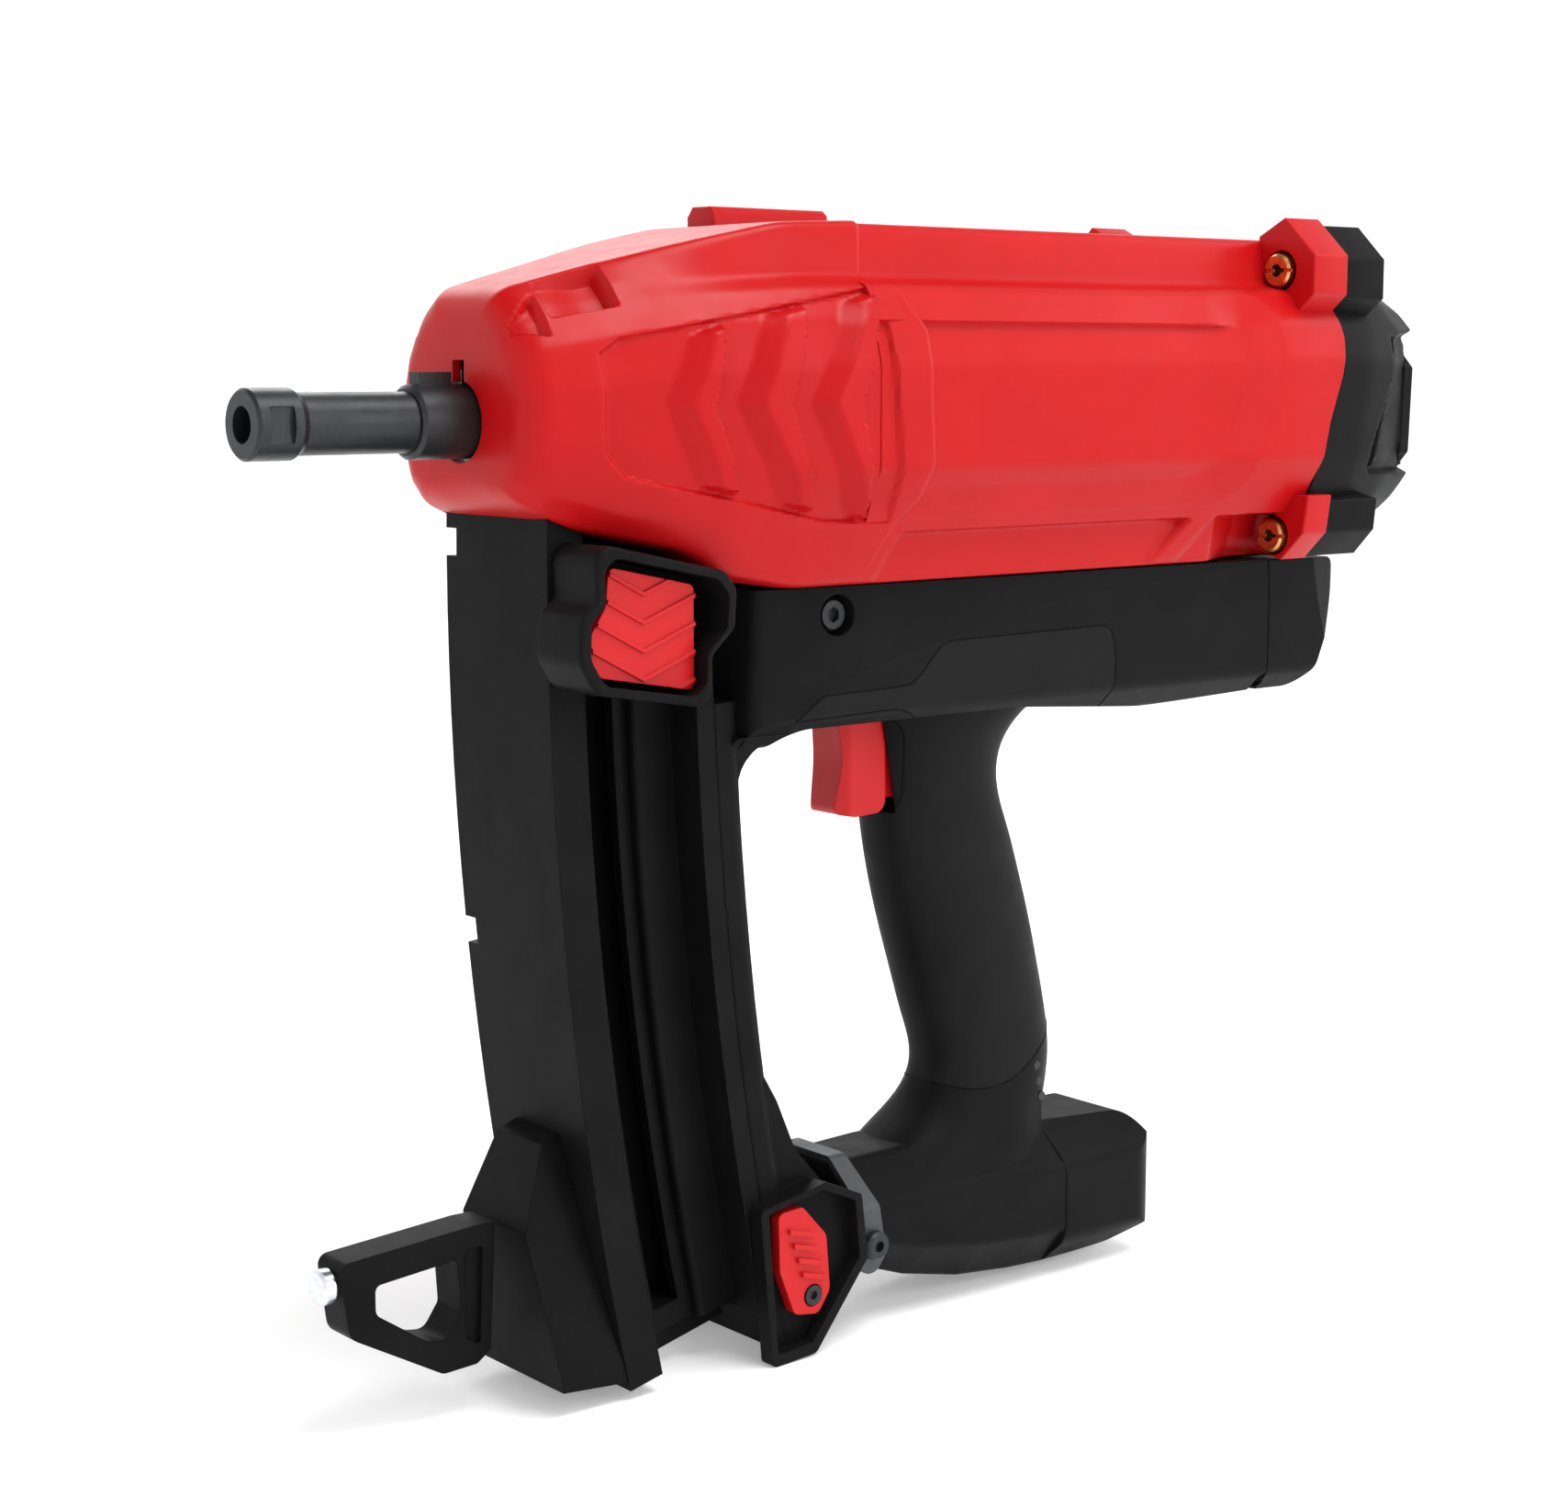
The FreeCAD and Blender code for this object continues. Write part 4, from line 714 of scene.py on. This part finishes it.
def rear_cap():
    even = np.arange(350.0, 426.0, 1.0)
    grid = skin_radius(CAP_SECTIONS, even, 1.6, 3.0)
    hole = polar_radius(CAP_HOLE)
    seam_z = [z for z, x in REAR_SEAM]
    seam_x = [x + SEAM_GAP for z, x in REAR_SEAM]
    rear_z = [z for z, x in CAP_REAR]
    rear_x = [x for z, x in CAP_REAR]

    def placed(x, radius, back_off=0.0):
        ring = ring_at(x, radius)
        seam = np.interp(ring[:, 2], seam_z, seam_x)
        rear = np.interp(ring[:, 2], rear_z, rear_x) - back_off
        ring[:, 0] = seam + (rear - seam) * (x - CAP_FRONT) / (CAP_BACK - CAP_FRONT)
        return ring

    outer = []
    edge = CAP_BACK - CAP_ROUNDING
    rounded = edge + CAP_ROUNDING * np.sin(np.linspace(0.2, np.pi / 2, 8))
    for x in np.concatenate([np.linspace(CAP_FRONT, edge, 64), rounded]):
        radius = radius_at(x, even, grid)
        lead = np.clip(x - edge, 0, CAP_ROUNDING)
        radius = radius - (CAP_ROUNDING - np.sqrt(CAP_ROUNDING ** 2 - lead ** 2))
        ring = placed(x, radius)
        on_side = window(SIDE_ANGLE, *CAP_SIDE)
        outer.append(sideways(ring, cap_rise(ring[:, 0], ring[:, 2]) * on_side))
    back = outer[-1]
    rim = placed(CAP_BACK, hole)
    inner_rim = placed(CAP_BACK, hole, CAP_WALL)
    steps = [back + (rim - back) * t for t in (0.33, 0.66)]
    inner = [placed(x, radius_at(x, even, grid) - 2 * CAP_WALL, CAP_WALL)
             for x in np.linspace(CAP_BACK - CAP_ROUNDING, CAP_FRONT, 12)]
    piece = ring_mesh("cap_shell", outer + steps + [rim, inner_rim] + inner, "black_plastic")
    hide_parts("rear_cap")
    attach(piece, "tool")
    for side, hand in ((-1, "left"), (1, "right")):
        for outline, level, front in ((UPPER_CAP_EAR, "upper", CAP_FRONT),
                                      (LOWER_CAP_EAR, "lower", LOWER_EAR_BACK)):
            corners = [(side * a, b) for a, b in outline]
            ear = prism(f"cap_ear_{hand}_{level}", corners, front + CAP_GAP, CAP_EAR_BACK,
                        "black_plastic", 1.0)
            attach(ear, "tool")


# ---------------------------------------------------------------- painted seam shadows of the black housing
# Corners as x, z and the length of the curve on each side of the corner
GRIP_SEAM = [(156, -85.2, 0), (165.4, -78.3, 2), (199.5, -77.6, 5), (209.5, -65.3, 5),
             (280, -64.4, 5), (284.5, -78, 5), (283.8, -92, 0)]
FOOT_SEAM = [(212, -203, 0), (222, -204.5, 6), (241, -210, 12), (257, -208.6, 12), (274, -198, 6),
             (283, -189, 0)]
TRIGGER_SEAM = [(156, -85.2, 0), (196, -84.3, 5), (212.7, -92, 6), (214.4, -117, 5),
                (209, -125.5, 0)]
SEAM_RADIUS = 0.28
SEAM_SINK = 0.1
SEAM_LOWEST = 3.0
SEAM_JUMP = 4.0
RAY_START = 100
TUBE_SIDES = 6


def rounded_line(points):
    """Open line through (x, z, curve length) corners, each turned on a short curve."""
    line = [np.array(points[0][:2], float)]
    for before, corner, after in zip(points[:-2], points[1:-1], points[2:]):
        middle = np.array(corner[:2], float)
        ways = [np.array(end[:2], float) - middle for end in (before, after)]
        start, end = [middle + way * min(0.45, corner[2] / np.hypot(*way)) for way in ways]
        for t in np.linspace(0, 1, 9):
            line.append(start * (1 - t) ** 2 + middle * 2 * t * (1 - t) + end * t ** 2)
    line.append(np.array(points[-1][:2], float))
    return np.array(line)


def spaced(line, step=0.8):
    """Points at an even spacing along a line."""
    travel = np.concatenate([[0], np.cumsum(np.hypot(*np.diff(line, axis=0).T))])
    marks = np.arange(0, travel[-1], step)
    return np.stack([np.interp(marks, travel, line[:, axis]) for axis in (0, 1)], axis=1)


def add_tube(work, path, radius):
    """Add a closed tube along a path of 3-D points."""
    rings = []
    turns = [2 * math.pi * j / TUBE_SIDES for j in range(TUBE_SIDES)]
    for k, point in enumerate(path):
        along = (path[min(k + 1, len(path) - 1)] - path[max(k - 1, 0)]).normalized()
        side = along.cross(Vector((0, 1, 0))).normalized()
        up = side.cross(along)
        spokes = [(side * math.cos(turn) + up * math.sin(turn)) * radius for turn in turns]
        rings.append([work.verts.new(point + spoke) for spoke in spokes])
    for a, b in zip(rings[:-1], rings[1:]):
        for j in range(TUBE_SIDES):
            k = (j + 1) % TUBE_SIDES
            work.faces.new((a[j], a[k], b[k], b[j]))
    work.faces.new(rings[0][::-1])
    work.faces.new(rings[-1])


def seam_shadow_lines():
    """Thin dark tubes along the grip, foot and trigger surround joints: painted shadow of the seam
    grooves.
    """
    names = ("rubber_grip", "left_handle_half", "right_handle_half")
    trees = [BVHTree.FromPolygons([v.co for v in nodes[n].data.vertices],
                                  [p.vertices for p in nodes[n].data.polygons]) for n in names]
    work = bmesh.new()
    for side in (-1, 1):
        for seam in (GRIP_SEAM, FOOT_SEAM, TRIGGER_SEAM):
            path = []
            for x, z in spaced(rounded_line(seam)) * MM:
                start = Vector((x, side * RAY_START * MM, z))
                hits = [tree.ray_cast(start, Vector((0, -side, 0)))[0] for tree in trees]
                heights = [hit.y * side for hit in hits if hit is not None]
                level = max(heights, default=-1)
                broken = path and abs(level - path[-1].y * side) > SEAM_JUMP * MM
                if level < SEAM_LOWEST * MM or broken:
                    if len(path) > 3:
                        add_tube(work, path, SEAM_RADIUS * MM)
                    path = []
                if level >= SEAM_LOWEST * MM:
                    path.append(Vector((x, side * (level - SEAM_SINK * MM), z)))
            if len(path) > 3:
                add_tube(work, path, SEAM_RADIUS * MM)
    mesh = bpy.data.meshes.new("seam_shadow_lines")
    work.to_mesh(mesh)
    work.free()
    # The near-black seal_rubber material on these tubes paints the shadow in the seam grooves.
    piece = finished("seam_shadow_lines", mesh, "seal_rubber", 60)
    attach(piece, "tool")


# ---------------------------------------------------------------- springs
def springs():
    """Give each spring coil its own copy of its mesh."""
    for joint in frame["record"]["behaviour"]["joints"]:
        for spring in joint.get("deforming_nodes", []):
            coil = nodes[spring["node"]]
            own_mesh(coil)


make_camera()
make_floor(cad_bounds[0][2])
make_light()
MATERIALS = make_materials()
dress_nodes(MATERIALS)
front_cowl()
rear_housing()
housing_ears()
rear_cap()
seam_shadow_lines()
springs()
